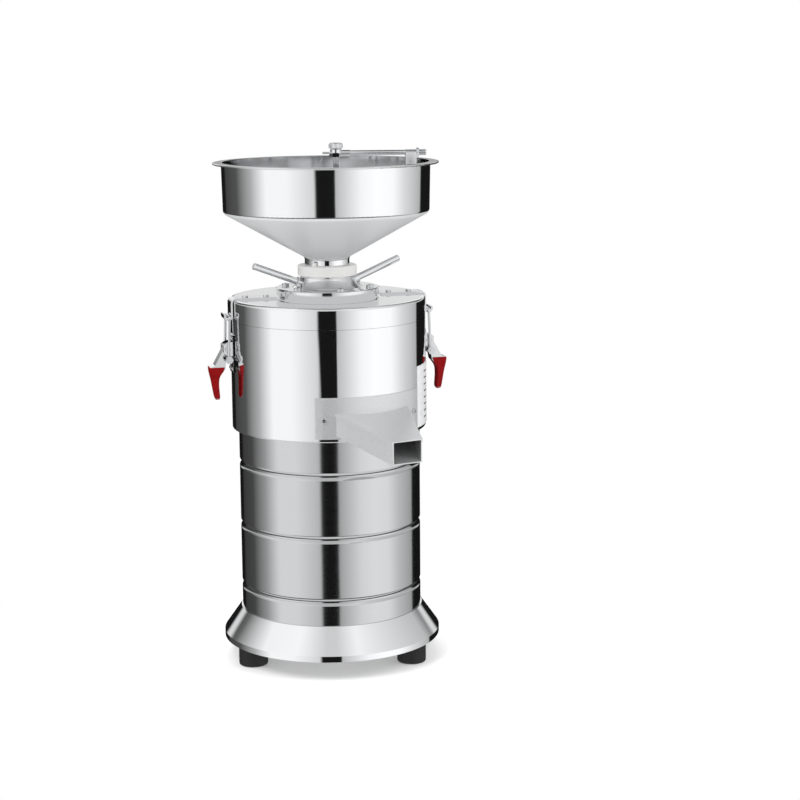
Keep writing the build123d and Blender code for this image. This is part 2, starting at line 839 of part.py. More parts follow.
# Drum shell: a spun can round the chamber, with a gasket ledge and the outlet window
window_level = housing_top_level + window_rise
screw_level = housing_top_level + chute_screw_rise
with BuildPart() as drum_shell:
    with BuildSketch(Plane.XZ):
        with BuildLine():
            Polyline(
                (housing_radius + slip, housing_top_level),
                (drum_radius, housing_top_level),
                (drum_radius, drum_top_level),
                (drum_radius - drum_wall - ledge_width, drum_top_level),
                (drum_radius - drum_wall - ledge_width, drum_top_level - ledge_thickness),
                (drum_radius - drum_wall, drum_top_level - ledge_thickness),
                (drum_radius - drum_wall, housing_top_level + drum_wall),
                (housing_radius + slip, housing_top_level + drum_wall),
                close=True,
            )
        make_face()
    revolve(axis=Axis.Z)
    fillet(
        drum_shell.edges().group_by(Axis.Z)[0].sort_by(SortBy.RADIUS)[-1],
        radius=drum_wall - 0.2,
    )
    with BuildSketch(face_plane(0, drum_radius - 2 * drum_wall, window_level + window_height / 2)):
        RectangleRounded(2 * window_half_width, window_height, 3)
    extrude(amount=4 * drum_wall + 15, both=True, mode=Mode.SUBTRACT)
    for angle in (-chute_screw_angle, chute_screw_angle):
        with BuildSketch(face_plane(angle, drum_radius - 2 * drum_wall, screw_level)):
            Circle(chute_screw_radius + running_gap)
        extrude(amount=4 * drum_wall, mode=Mode.SUBTRACT)
drum_shell.part.label = "drum_shell"
export_step(drum_shell.part, "parts/drum_shell.step")

# Carrier of the lower stone, with the blades that sweep the chamber floor
blade_bottom_level = floor_top_level + blade_gap
carrier_bottom_level = blade_bottom_level + 2
carrier_inner_radius = carrier_neck_radius - carrier_wall
blade_tip_radius = drum_radius - drum_wall - 2.5
with BuildPart() as stone_carrier:
    with BuildSketch(Plane.XZ):
        with BuildLine():
            Polyline(
                (shaft_radius, floor_top_level + seal_boss_height + 4),
                (shaft_radius, lower_stone_bottom),
                (carrier_radius, lower_stone_bottom),
                (carrier_radius, lower_stone_bottom - carrier_plate),
                (carrier_neck_radius, carrier_neck_level),
                (carrier_neck_radius, carrier_bottom_level),
                (carrier_inner_radius, carrier_bottom_level),
                (carrier_inner_radius, floor_top_level + seal_boss_height + 4),
                close=True,
            )
        make_face()
    revolve(axis=Axis.Z)
    with BuildSketch(Plane.XY.offset(blade_bottom_level)):
        with PolarLocations((blade_tip_radius + carrier_neck_radius) / 2 - 1, blade_count):
            Rectangle(blade_tip_radius - carrier_neck_radius + 2, blade_thickness)
    extrude(amount=blade_height)
stone_carrier.part.label = "stone_carrier"
export_step(stone_carrier.part, "parts/stone_carrier.step")

# Lower stone: turns with the shaft; radial grooves run across its face
with BuildPart() as lower_stone:
    with BuildSketch(Plane.XY.offset(lower_stone_bottom)):
        Circle(stone_radius)
        Circle(shaft_radius, mode=Mode.SUBTRACT)
    extrude(amount=lower_stone_height)
    with BuildSketch(Plane.XY.offset(stone_level - stone_clearance)):
        Circle(nut_recess_radius)
    extrude(amount=-nut_recess_depth, mode=Mode.SUBTRACT)
    with BuildSketch(Plane.XY.offset(stone_level - stone_clearance)):
        with PolarLocations(stone_radius * 0.7, stone_groove_count):
            Rectangle(stone_radius * 0.75, stone_groove_width, rotation=18)
    extrude(amount=-stone_groove_depth, mode=Mode.SUBTRACT)
lower_stone.part.label = "lower_stone"
export_step(lower_stone.part, "parts/lower_stone.step")

# Nut on the shaft nose, in the recess of the lower stone
with BuildPart() as shaft_nut:
    with BuildSketch(Plane.XY.offset(shaft_shoulder_level)):
        RegularPolygon(shaft_nut_radius, 6)
        Circle(shaft_nose_radius + running_gap, mode=Mode.SUBTRACT)
    extrude(amount=shaft_nut_height - 2)
shaft_nut.part.label = "shaft_nut"
export_step(shaft_nut.part, "parts/shaft_nut.step")

# Upper stone: stands still, with a tapered eye that the nuts fall through
upper_stone_top = stone_level + upper_stone_height
with BuildPart() as upper_stone:
    with BuildSketch(Plane.XZ):
        with BuildLine():
            Polyline(
                (throat_radius, upper_stone_top),
                (stone_radius, upper_stone_top),
                (stone_radius, stone_level),
                (stone_eye_radius, stone_level),
                close=True,
            )
        make_face()
    revolve(axis=Axis.Z)
    with BuildSketch(Plane.XY.offset(stone_level)):
        with PolarLocations(stone_radius * 0.85, stone_groove_count):
            Rectangle(stone_radius * 0.45, stone_groove_width, rotation=-18)
    extrude(amount=stone_groove_depth, mode=Mode.SUBTRACT)
upper_stone.part.label = "upper_stone"
export_step(upper_stone.part, "parts/upper_stone.step")

# Feed sleeve: carries the upper stone, is threaded in the hub and keyed in the seat ring
with BuildPart() as feed_sleeve:
    with BuildSketch(Plane.XZ):
        with BuildLine():
            Polyline(
                (throat_radius, upper_stone_top),
                (sleeve_flange_radius, upper_stone_top),
                (sleeve_flange_radius, upper_stone_top + sleeve_flange_thickness),
                (sleeve_radius, upper_stone_top + sleeve_flange_thickness),
                (sleeve_radius, nylon_bottom_level),
                (neck_radius + running_gap, nylon_bottom_level),
                (neck_radius + running_gap, neck_bottom_level),
                (throat_radius, neck_bottom_level),
                close=True,
            )
        make_face()
    revolve(axis=Axis.Z)
    with BuildSketch(Plane.XY.offset(upper_stone_top + sleeve_flange_thickness)):
        with PolarLocations(sleeve_radius, 2):
            Rectangle(2 * key_depth, key_width)
    extrude(amount=seat_top_level + 1 - upper_stone_top - sleeve_flange_thickness, mode=Mode.SUBTRACT)
feed_sleeve.part.label = "feed_sleeve"
export_step(feed_sleeve.part, "parts/feed_sleeve.step")

# Lid: a spun cap with a gasket flange inside and a hole for the feed sleeve
lid_hole_radius = sleeve_radius + 1
with BuildPart() as lid:
    with BuildSketch(Plane.XZ):
        with BuildLine():
            Polyline(
                (lid_hole_radius, lid_top_level),
                (drum_radius, lid_top_level),
                (drum_radius, lid_bottom_level),
                (drum_radius - lid_wall, lid_bottom_level),
                (drum_radius - lid_wall, gasket_top_level),
                (drum_radius - drum_wall - ledge_width, gasket_top_level),
                (drum_radius - drum_wall - ledge_width, gasket_top_level + ledge_thickness),
                (drum_radius - lid_wall, gasket_top_level + ledge_thickness),
                (drum_radius - lid_wall, lid_top_level - lid_top_thickness),
                (lid_hole_radius, lid_top_level - lid_top_thickness),
                close=True,
            )
        make_face()
    revolve(axis=Axis.Z)
    fillet(lid.edges().group_by(Axis.Z)[-1].sort_by(SortBy.RADIUS)[-1], radius=lid_edge)
    with BuildSketch(Plane.XY.offset(lid_top_level)):
        with PolarLocations(flange_bolt_circle, flange_bolt_count, start_angle=flange_bolt_turn):
            Circle(flange_bolt_radius + running_gap)
        for angle in (latch_angle, latch_angle + 180):
            with Locations(*[at_angle(angle, radius) for radius in strap_rivet_places]):
                Circle(strap_rivet_radius / 2 + running_gap)
    extrude(amount=-lid_top_thickness, mode=Mode.SUBTRACT)
lid.part.label = "lid"
export_step(lid.part, "parts/lid.step")

# Gasket between the drum ledge and the lid flange
gasket_outer = drum_radius - drum_wall - 1
with BuildPart() as lid_gasket:
    with BuildSketch(Plane.XY.offset(drum_top_level)):
        Circle(gasket_outer)
        Circle(gasket_outer - gasket_width, mode=Mode.SUBTRACT)
    extrude(amount=gasket_height)
lid_gasket.part.label = "lid_gasket"
export_step(lid_gasket.part, "parts/lid_gasket.step")

# Hook straps: bars across the lid that bend down its side and end in hooks for the bails
strap_leg_radius = drum_radius + slip + strap_thickness / 2
hook_bend = hook_inner_radius + strap_thickness / 2
hook_centre_level = drum_top_level + hook_rise_from_drum_top
hook_tip_level = hook_centre_level + hook_tip_rise
strap_level = lid_top_level + strap_thickness / 2
with BuildPart() as hook_straps:
    for angle in (latch_angle, latch_angle + 180):
        with BuildLine(radial_plane(angle)) as strap_line:
            Line((strap_start, strap_level), (strap_leg_radius - strap_bend, strap_level))
            RadiusArc(
                (strap_leg_radius - strap_bend, strap_level),
                (strap_leg_radius, strap_level - strap_bend),
                strap_bend,
            )
            Line((strap_leg_radius, strap_level - strap_bend), (strap_leg_radius, hook_centre_level))
            ThreePointArc(
                (strap_leg_radius, hook_centre_level),
                (strap_leg_radius + hook_bend, hook_centre_level - hook_bend),
                (strap_leg_radius + 2 * hook_bend, hook_centre_level),
            )
            Line(
                (strap_leg_radius + 2 * hook_bend, hook_centre_level),
                (strap_leg_radius + 2 * hook_bend, hook_tip_level),
            )
        with BuildSketch(face_plane(angle, strap_start, strap_level)):
            Rectangle(strap_width, strap_thickness)
        sweep(path=strap_line.wires()[0])
    with BuildSketch(Plane.XY.offset(lid_top_level)):
        for angle in (latch_angle, latch_angle + 180):
            with Locations(*[at_angle(angle, radius) for radius in strap_rivet_places]):
                Circle(strap_rivet_radius / 2 + running_gap)
    extrude(amount=2 * strap_thickness, mode=Mode.SUBTRACT)
hook_straps.part.label = "hook_straps"
export_step(hook_straps.part, "parts/hook_straps.step")

# Rivets through the straps and the lid
with BuildPart() as strap_rivets:
    for angle in (latch_angle, latch_angle + 180):
        rivet_places = [at_angle(angle, radius) for radius in strap_rivet_places]
        with BuildSketch(Plane.XY.offset(lid_top_level + strap_thickness)):
            with Locations(*rivet_places):
                Circle(strap_rivet_radius)
        extrude(amount=strap_rivet_height, taper=strap_rivet_taper)
        with BuildSketch(Plane.XY.offset(lid_top_level - lid_top_thickness)):
            with Locations(*rivet_places):
                Circle(strap_rivet_radius / 2)
        extrude(amount=lid_top_thickness + strap_thickness)
strap_rivets.part.label = "strap_rivets"
export_step(strap_rivets.part, "parts/strap_rivets.step")

# Seat ring on the lid, with two keys that stop the sleeve from turning
with BuildPart() as seat_ring:
    with BuildSketch(Plane.XY.offset(lid_top_level)):
        Circle(seat_ring_radius)
        Circle(sleeve_radius + slip, mode=Mode.SUBTRACT)
        with PolarLocations(sleeve_radius + 0.5 - key_depth / 2, 2):
            Rectangle(key_depth, key_width - 2 * slip)
        with PolarLocations(flange_bolt_circle, flange_bolt_count, start_angle=flange_bolt_turn):
            Circle(flange_bolt_radius + running_gap, mode=Mode.SUBTRACT)
    extrude(amount=seat_ring_height)
seat_ring.part.label = "seat_ring"
export_step(seat_ring.part, "parts/seat_ring.step")

# Flange ring: its lip holds the collar of the hub down
hub_collar_radius = hub_radius + hub_collar
lip_level = flange_top_level - flange_lip
with BuildPart() as flange_ring:
    with BuildSketch(Plane.XZ):
        with BuildLine():
            Polyline(
                (hub_collar_radius + slip, seat_top_level),
                (flange_ring_radius, seat_top_level),
                (flange_ring_radius, flange_top_level),
                (hub_radius + slip, flange_top_level),
                (hub_radius + slip, lip_level),
                (hub_collar_radius + slip, lip_level),
                close=True,
            )
        make_face()
    revolve(axis=Axis.Z)
    chamfer(flange_ring.edges().group_by(Axis.Z)[-1].sort_by(SortBy.RADIUS)[-1], length=1)
    with BuildSketch(Plane.XY.offset(seat_top_level)):
        with PolarLocations(flange_bolt_circle, flange_bolt_count, start_angle=flange_bolt_turn):
            Circle(flange_bolt_radius + running_gap)
    extrude(amount=flange_ring_height, mode=Mode.SUBTRACT)
flange_ring.part.label = "flange_ring"
export_step(flange_ring.part, "parts/flange_ring.step")

# Bolts through the flange ring, the seat ring and the lid
with BuildPart() as flange_bolts:
    with BuildSketch(Plane.XY.offset(flange_top_level)):
        with PolarLocations(flange_bolt_circle, flange_bolt_count, start_angle=flange_bolt_turn):
            Circle(flange_bolt_head_radius)
    extrude(amount=flange_bolt_head_height)
    fillet(flange_bolts.edges().group_by(Axis.Z)[-1], radius=flange_bolt_head_edge)
    with BuildSketch(Plane.XY.offset(flange_top_level + flange_bolt_head_height)):
        with PolarLocations(flange_bolt_circle, flange_bolt_count, start_angle=flange_bolt_turn):
            RegularPolygon(flange_bolt_key_radius, 6)
    extrude(amount=-flange_bolt_key_depth, mode=Mode.SUBTRACT)
    with BuildSketch(Plane.XY.offset(flange_top_level)):
        with PolarLocations(flange_bolt_circle, flange_bolt_count, start_angle=flange_bolt_turn):
            Circle(flange_bolt_radius)
    extrude(amount=lid_top_level - lid_top_thickness - flange_top_level)
flange_bolts.part.label = "flange_bolts"
export_step(flange_bolts.part, "parts/flange_bolts.step")

# Adjusting hub: a bell-shaped nut that turns under the lip and feeds the sleeve
rod_root_level = hub_top_level - rod_drop
rod_planes = []
for angle in (rod_angle, rod_angle + 180):
    rod_axis = direction(angle).rotate(Axis((0, 0, 0), tangent(angle)), -rod_rise_angle)
    rod_planes.append(Plane(origin=at_angle(angle, rod_root, rod_root_level), z_dir=rod_axis))
with BuildPart() as adjusting_hub:
    with BuildSketch(Plane.XZ):
        with BuildLine():
            hub_sides = Polyline(
                (hub_top_radius, hub_top_level),
                (sleeve_radius + running_gap, hub_top_level),
                (sleeve_radius + running_gap, seat_top_level + slip),
                (hub_collar_radius, seat_top_level + slip),
                (hub_collar_radius, lip_level - slip),
                (hub_radius, lip_level - slip),
                (hub_radius, flange_top_level),
            )
            ThreePointArc(
                hub_sides @ 1,
                (hub_top_radius + 3.6, flange_top_level + hub_rise * 0.5),
                hub_sides @ 0,
            )
        make_face()
    revolve(axis=Axis.Z)
    for rod_plane in rod_planes:
        with BuildSketch(rod_plane):
            Circle(rod_boss_radius)
        extrude(amount=rod_boss_length)
    with BuildSketch(Plane.XY.offset(seat_top_level + slip)):
        Circle(sleeve_radius + running_gap)
    extrude(amount=hub_rise + flange_ring_height + 10, mode=Mode.SUBTRACT)
    for rod_plane in rod_planes:
        with BuildSketch(rod_plane):
            Circle(rod_radius)
        extrude(amount=2 * rod_boss_length + 10, mode=Mode.SUBTRACT)
adjusting_hub.part.label = "adjusting_hub"
export_step(adjusting_hub.part, "parts/adjusting_hub.step")

# Two rods to turn the hub by
with BuildPart() as adjusting_rods:
    for rod_plane in rod_planes:
        with BuildSketch(rod_plane):
            Circle(rod_radius)
        extrude(amount=rod_length)
    chamfer(adjusting_rods.edges().filter_by(GeomType.CIRCLE), length=0.8)
adjusting_rods.part.label = "adjusting_rods"
export_step(adjusting_rods.part, "parts/adjusting_rods.step")

# Nylon ring on the sleeve, with a lug that stands in the slot of the hopper neck
with BuildPart() as nylon_ring:
    with BuildSketch(Plane.XY.offset(nylon_bottom_level)):
        Circle(nylon_radius)
        Circle(neck_radius + slip, mode=Mode.SUBTRACT)
    extrude(amount=nylon_height)
    fillet(nylon_ring.edges().filter_by(GeomType.CIRCLE).sort_by(SortBy.RADIUS)[-2:], radius=1.5)
    with BuildSketch(radial_plane(neck_slot_angle)):
        lug_middle = neck_radius + lug_depth / 2 - lug_reach
        with Locations((lug_middle, nylon_top_level + (lug_rise - lug_root) / 2)):
            Rectangle(lug_depth, lug_rise + lug_root)
    extrude(amount=lug_width / 2, both=True)
nylon_ring.part.label = "nylon_ring"
export_step(nylon_ring.part, "parts/nylon_ring.step")

# Hopper: spun neck, cone and bowl with a turned-out rim
with BuildPart() as hopper:
    with BuildSketch(Plane.XZ):
        with BuildLine():
            Polyline(
                (0, neck_bottom_level),
                (neck_radius, neck_bottom_level),
                (neck_radius, cone_level),
                (bowl_radius, cone_level + cone_height),
                (bowl_top_radius, rim_level),
                (0, rim_level),
                close=True,
            )
        make_face()
    revolve(axis=Axis.Z)
    fillet(hopper.edges().filter_by_position(Axis.Z, cone_level - 1, cone_level + 1), radius=neck_knuckle)
    fillet(
        hopper.edges().filter_by_position(
            Axis.Z, cone_level + cone_height - 1, cone_level + cone_height + 1
        ),
        radius=bowl_knuckle,
    )
    offset(
        amount=-hopper_sheet,
        openings=[hopper.faces().sort_by(Axis.Z)[0], hopper.faces().sort_by(Axis.Z)[-1]],
    )
    with BuildSketch(Plane.XZ):
        with Locations(((bowl_top_radius - hopper_sheet + rim_radius - rim_bead) / 2, rim_level)):
            Rectangle(rim_radius - rim_bead - bowl_top_radius + hopper_sheet, hopper_sheet)
        with Locations((rim_radius - rim_bead, rim_level - rim_bead + hopper_sheet / 2)):
            Circle(rim_bead)
    revolve(axis=Axis.Z)
    with BuildSketch(radial_plane(neck_slot_angle)):
        with Locations((neck_radius, neck_bottom_level + neck_slot_height / 2)):
            Rectangle(3 * hopper_sheet, neck_slot_height)
    extrude(amount=neck_slot_width / 2, both=True, mode=Mode.SUBTRACT)
hopper.part.label = "hopper"
export_step(hopper.part, "parts/hopper.step")

# Latches: bases with ears, and the pivot pins in the ears
pin_level = pivot_level - crank
bail_top_radius = strap_leg_radius + strap_thickness / 2 + hook_inner_radius - bail_inset
bail_top_level = hook_centre_level - bail_drop
latch_plate_bottom = pivot_level - latch_plate_height + latch_plate_drop
latch_plate_top = pivot_level + latch_plate_drop
ear_outside = ear_gap / 2 + ear_thickness
ear_root_radius = drum_radius + latch_plate_thickness / 2
grip_top_level = pivot_level - grip_drop
latch_angles = (latch_angle, latch_angle + 180)
with BuildPart() as latch_bases:
    for angle in latch_angles:
        with BuildSketch(radial_plane(angle - latch_plate_half_angle)):
            with Locations(
                (
                    drum_radius + seat_gap + latch_plate_thickness / 2,
                    (latch_plate_bottom + latch_plate_top) / 2,
                )
            ):
                Rectangle(latch_plate_thickness, latch_plate_height)
        revolve(axis=Axis.Z, revolution_arc=2 * latch_plate_half_angle)
        for aside in (ear_outside - ear_thickness / 2, ear_thickness / 2 - ear_outside):
            with BuildSketch(radial_plane(angle, aside)):
                with BuildLine():
                    Polyline(
                        (ear_root_radius, pivot_level - ear_drop),
                        (pivot_radius + 0.4 * ear_reach, pivot_level - ear_drop),
                        (pivot_radius + ear_reach, pivot_level - 0.45 * ear_drop),
                        (pivot_radius + ear_reach, pivot_level + 0.6 * ear_rise),
                        (pivot_radius, pivot_level + ear_rise),
                        (ear_root_radius, pivot_level + ear_rise),
                        close=True,
                    )
                make_face()
                with Locations((pivot_radius, pivot_level)):
                    Circle(pin_radius, mode=Mode.SUBTRACT)
            extrude(amount=ear_thickness / 2, both=True)
latch_bases.part.label = "latch_bases"
export_step(latch_bases.part, "parts/latch_bases.step")

with BuildPart() as pivot_pins:
    for angle in latch_angles:
        with BuildSketch(radial_plane(angle)):
            with Locations((pivot_radius, pivot_level)):
                Circle(pin_radius)
        extrude(amount=ear_outside, both=True)
        for aside, reach in ((ear_outside, -pin_head_height), (-ear_outside, pin_head_height)):
            with BuildSketch(radial_plane(angle, aside)):
                with Locations((pivot_radius, pivot_level)):
                    Circle(pin_head_radius)
            extrude(amount=reach)
pivot_pins.part.label = "pivot_pins"
export_step(pivot_pins.part, "parts/pivot_pins.step")

for side, angle in zip(("left", "right"), latch_angles):
    side_plane = radial_plane(angle)

    # Lever: a folded channel with side plates on the pin, a web on its back and a tang for the grip
    back_top = (pivot_radius + lever_top_reach, pivot_level + lever_top_rise)
    back_bottom = (pivot_radius + lever_knee_reach, pivot_level - lever_knee_drop)
    lever_nose_radius = pivot_radius - lever_nose
    tang_reach = pivot_radius + grip_bend_reach + grip_edge
    tang_tip_reach = pivot_radius + grip_tip_reach - grip_tip_depth / 2 - tang_depth / 4
    with BuildPart() as latch_lever:
        with BuildSketch(side_plane):
            with BuildLine():
                Polyline(
                    (lever_nose_radius, pivot_level),
                    back_top,
                    back_bottom,
                    (pivot_radius + grip_back_reach, back_bottom[1] - pin_radius),
                    (pivot_radius + grip_back_reach, grip_top_level),
                    (pivot_radius + grip_front_reach, grip_top_level),
                    (pivot_radius + lever_waist_reach, pivot_level - lever_waist_drop),
                    (pivot_radius + pin_radius, pin_level - 2 * pin_radius),
                    (lever_nose_radius, pin_level - pin_radius),
                    close=True,
                )
            make_face()
            with Locations((pivot_radius, pivot_level)):
                Circle(lever_boss_radius)
        extrude(amount=lever_width / 2, both=True)
        with BuildSketch(side_plane):
            with BuildLine():
                Polyline(
                    (pivot_radius - 2 * lever_nose, pivot_level + 2 * lever_nose),
                    (back_top[0] - lever_wall, pivot_level + 2 * lever_nose),
                    (back_top[0] - lever_wall, back_top[1]),
                    (back_bottom[0] - 1.7 * lever_wall, back_bottom[1] + lever_wall),
                    (pivot_radius - 2 * lever_nose, back_bottom[1] + lever_wall),
                    close=True,
                )
            make_face()
        extrude(amount=lever_width / 2 - lever_wall, both=True, mode=Mode.SUBTRACT)
        with BuildSketch(side_plane):
            with Locations((pivot_radius, pivot_level), (pivot_radius, pin_level)):
                Circle(pin_radius + running_gap)
        extrude(amount=lever_width, both=True, mode=Mode.SUBTRACT)
        with BuildSketch(side_plane) as tang_sketch:
            with BuildLine():
                Polyline(
                    (tang_reach, grip_top_level + 1),
                    (tang_reach + 1.6 * tang_depth, grip_top_level + 1),
                    (tang_reach + 1.3 * tang_depth, grip_top_level - grip_bend_drop),
                    (tang_tip_reach + tang_depth, grip_top_level - tang_length),
                    (tang_tip_reach, grip_top_level - tang_length),
                    (tang_reach, grip_top_level - grip_bend_drop),
                    close=True,
                )
            make_face()
        extrude(amount=tang_width / 2, both=True)
    latch_lever.part.label = f"{side}_latch_lever"
    export_step(latch_lever.part, f"parts/{side}_latch_lever.step")

    # Dipped grip over the tang: wide at the lever, slim and curved in towards its tip
    with BuildPart() as latch_grip:
        with BuildSketch(side_plane):
            with BuildLine():
                Polyline(
                    (pivot_radius + grip_front_reach, grip_top_level),
                    (pivot_radius + grip_back_reach, grip_top_level),
                    (pivot_radius + grip_back_reach, grip_top_level - 0.5 * grip_bend_drop),
                    (pivot_radius + grip_back_reach - 2.5, grip_top_level - 1.6 * grip_bend_drop),
                    (pivot_radius + grip_tip_reach, grip_top_level - grip_length),
                    (pivot_radius + grip_tip_reach - grip_tip_depth, grip_top_level - grip_length),
                    (pivot_radius + grip_bend_reach, grip_top_level - 2.1 * grip_bend_drop),
                    (pivot_radius + grip_bend_reach, grip_top_level - grip_bend_drop),
                    (pivot_radius + grip_front_reach, grip_top_level - grip_bend_drop / 3),
                    close=True,
                )
            make_face()
            fillet(vertices().sort_by(Axis.Y)[:2], radius=3.6)
            fillet(vertices().sort_by(Axis.Y)[4:-2], radius=2.2)
        extrude(amount=grip_width / 2, both=True)
        side_axis = Axis(at_angle(angle, 0), tangent(angle))
        fillet(
            latch_grip.faces().sort_by(side_axis)[0].edges()
            + latch_grip.faces().sort_by(side_axis)[-1].edges(),
            radius=grip_edge,
        )
        with BuildSketch(side_plane):
            add(tang_sketch.sketch_local)
        extrude(amount=tang_width / 2, both=True, mode=Mode.SUBTRACT)
    latch_grip.part.label = f"{side}_latch_grip"
    export_step(latch_grip.part, f"parts/{side}_latch_grip.step")

    # Bail: one bent wire with an eye at each end, round the crank pin
    bail_run = Vector(bail_top_radius - pivot_radius, 0, bail_top_level - pin_level)
    bail_length = bail_run.length
    bail_lean = direction(angle) * bail_run.X + Vector(0, 0, bail_run.Z)
    bail_plane = Plane(
        origin=at_angle(angle, pivot_radius, pin_level),
        x_dir=tangent(angle),
        z_dir=tangent(angle).cross(bail_lean),
    )
    with BuildPart() as latch_bail:
        with BuildLine(bail_plane) as bail_line:
            FilletPolyline(
                (-bail_span / 2, pin_radius + 1.2),
                (-bail_span / 2, bail_length),
                (bail_span / 2, bail_length),
                (bail_span / 2, pin_radius + 1.2),
                radius=bail_bend,
            )
        with BuildSketch(Plane(origin=bail_line.line @ 0, z_dir=bail_line.line % 0)):
            Circle(bail_rod / 2)
        sweep(path=bail_line.line)
        for aside in (bail_span / 2, -bail_span / 2):
            with BuildSketch(radial_plane(angle, aside)):
                with Locations((pivot_radius, pin_level)):
                    Circle(bail_eye_radius)
            extrude(amount=bail_eye_width / 2, both=True)
        with BuildSketch(side_plane):
            with Locations((pivot_radius, pin_level)):
                Circle(pin_radius + running_gap)
        extrude(amount=bail_span, both=True, mode=Mode.SUBTRACT)
    latch_bail.part.label = f"{side}_latch_bail"
    export_step(latch_bail.part, f"parts/{side}_latch_bail.step")

    # Crank pin that the bail turns on, with a lock nut at each end
    nut_start = bail_span / 2 + bail_eye_width / 2 + slip
    with BuildPart() as crank_pin:
        with BuildSketch(side_plane):
            with Locations((pivot_radius, pin_level)):
                Circle(pin_radius)
        extrude(amount=nut_start + nut_height + 1, both=True)
        for aside, reach in ((nut_start, -nut_height), (-nut_start, nut_height)):
            with BuildSketch(radial_plane(angle, aside)):
                with Locations((pivot_radius, pin_level)):
                    RegularPolygon(nut_radius, 6)
            extrude(amount=reach)
    crank_pin.part.label = f"{side}_crank_pin"
    export_step(crank_pin.part, f"parts/{side}_crank_pin.step")

# Outlet chute: an open trough that narrows and falls away from the drum, and its cover
chute_root_reach = math.sqrt(drum_radius**2 - chute_root_half_width**2)
chute_root_top = housing_top_level + chute_root_rise
chute_run = chute_reach - chute_root_reach
chute_start = chute_root_reach - 12
chute_outer_radius = drum_radius + seat_gap + chute_plate_thickness


def chute_section(reach):
    """Plane across the chute, its half width and its top level at a distance from the axis."""
    share = (reach - chute_root_reach) / chute_run
    plane = Plane(origin=(0, -reach, 0), x_dir=(1, 0, 0), z_dir=(0, -1, 0))
    half_width = chute_root_half_width + (chute_mouth_half_width - chute_root_half_width) * share
    return plane, half_width, chute_root_top - chute_fall * share


def chute_block(margin, bottom, top):
    """Tapered block along the chute: a margin inside its half width, between two drops."""
    with BuildPart() as block:
        for reach in (chute_start, chute_reach):
            plane, half_width, level = chute_section(reach)
            with BuildSketch(plane):
                with Locations((0, level - (bottom + top) / 2)):
                    Rectangle(2 * (half_width - margin), bottom - top)
        loft()
    return block.part


with BuildPart() as chute_trough:
    add(chute_block(cover_sheet, chute_height, cover_sheet))
    add(
        chute_block(cover_sheet + chute_wall, chute_height - chute_wall, cover_sheet - 2),
        mode=Mode.SUBTRACT,
    )
    Cylinder(chute_outer_radius, 2 * drum_top_level, mode=Mode.SUBTRACT)
chute_trough.part.label = "chute_trough"
export_step(chute_trough.part, "parts/chute_trough.step")

with BuildPart() as chute_cover:
    add(chute_block(0, cover_lip, 0))
    add(chute_block(cover_sheet - seat_gap, cover_lip + 2, cover_sheet), mode=Mode.SUBTRACT)
    Cylinder(chute_outer_radius, 2 * drum_top_level, mode=Mode.SUBTRACT)
chute_cover.part.label = "chute_cover"
export_step(chute_cover.part, "parts/chute_cover.step")

# Curved plate that holds the chute on the drum
chute_plate_level = housing_top_level + chute_plate_rise + chute_plate_height / 2
with BuildPart() as chute_plate:
    with BuildSketch(radial_plane(-chute_plate_half_angle)):
        with Locations((drum_radius + seat_gap + chute_plate_thickness / 2, chute_plate_level)):
            Rectangle(chute_plate_thickness, chute_plate_height)
    revolve(axis=Axis.Z, revolution_arc=2 * chute_plate_half_angle)
    with BuildSketch(face_plane(0, drum_radius - 15, window_level + window_height / 2)):
        RectangleRounded(2 * window_half_width, window_height, 3)
    extrude(amount=30, mode=Mode.SUBTRACT)
    for angle in (-chute_screw_angle, chute_screw_angle):
        with BuildSketch(face_plane(angle, drum_radius - 5, screw_level)):
            Circle(chute_screw_radius + running_gap)
        extrude(amount=20, mode=Mode.SUBTRACT)
chute_plate.part.label = "chute_plate"
export_step(chute_plate.part, "parts/chute_plate.step")

# Pan-head screws of the chute plate
with BuildPart() as chute_screws:
    for angle in (-chute_screw_angle, chute_screw_angle):
        with BuildSketch(face_plane(angle, chute_outer_radius, screw_level)):
            Circle(chute_screw_head_radius)
        extrude(amount=chute_screw_head_height, taper=chute_screw_taper)
        with BuildSketch(face_plane(angle, chute_outer_radius, screw_level)):
            Circle(chute_screw_radius)
        extrude(amount=-chute_screw_length)
        with BuildSketch(
            face_plane(angle, chute_outer_radius + chute_screw_head_height, screw_level)
        ):
            Rectangle(chute_screw_slot_length, chute_screw_slot_width)
            Rectangle(chute_screw_slot_width, chute_screw_slot_length)
        extrude(amount=-chute_screw_slot_depth, mode=Mode.SUBTRACT)
chute_screws.part.label = "chute_screws"
export_step(chute_screws.part, "parts/chute_screws.step")

# Small curved plate on the drum beside the chute
with BuildPart() as drum_plate:
    with BuildSketch(radial_plane(plate_start_angle)):
        with Locations(
            (
                drum_radius + seat_gap + plate_thickness / 2,
                housing_top_level + plate_rise + plate_height / 2,
            )
        ):
            Rectangle(plate_thickness, plate_height)
    revolve(axis=Axis.Z, revolution_arc=plate_span_angle)
drum_plate.part.label = "drum_plate"
export_step(drum_plate.part, "parts/drum_plate.step")

# Water tap: everything on it lies along one line over the hopper
tap_turn_radians = math.radians(tap_turn)
tap_x = Vector(math.cos(tap_turn_radians), math.sin(tap_turn_radians), 0)
tap_y = Vector(-math.sin(tap_turn_radians), math.cos(tap_turn_radians), 0)
tap_origin = tap_y * -tap_depth
tap_line_plane = Plane(origin=tap_origin, x_dir=tap_x, z_dir=-tap_y)
tap_axis = tap_origin + tap_x * tap_place
pipe_end = math.sqrt(rim_radius**2 - tap_depth**2) + pipe_overhang
clamp_place = math.sqrt(bowl_top_radius**2 - tap_depth**2) + clamp_offset
clamp_point = tap_origin + tap_x * clamp_place
clamp_angle = math.degrees(math.atan2(clamp_point.X, -clamp_point.Y))
pipe_start = tap_place + valve_radius

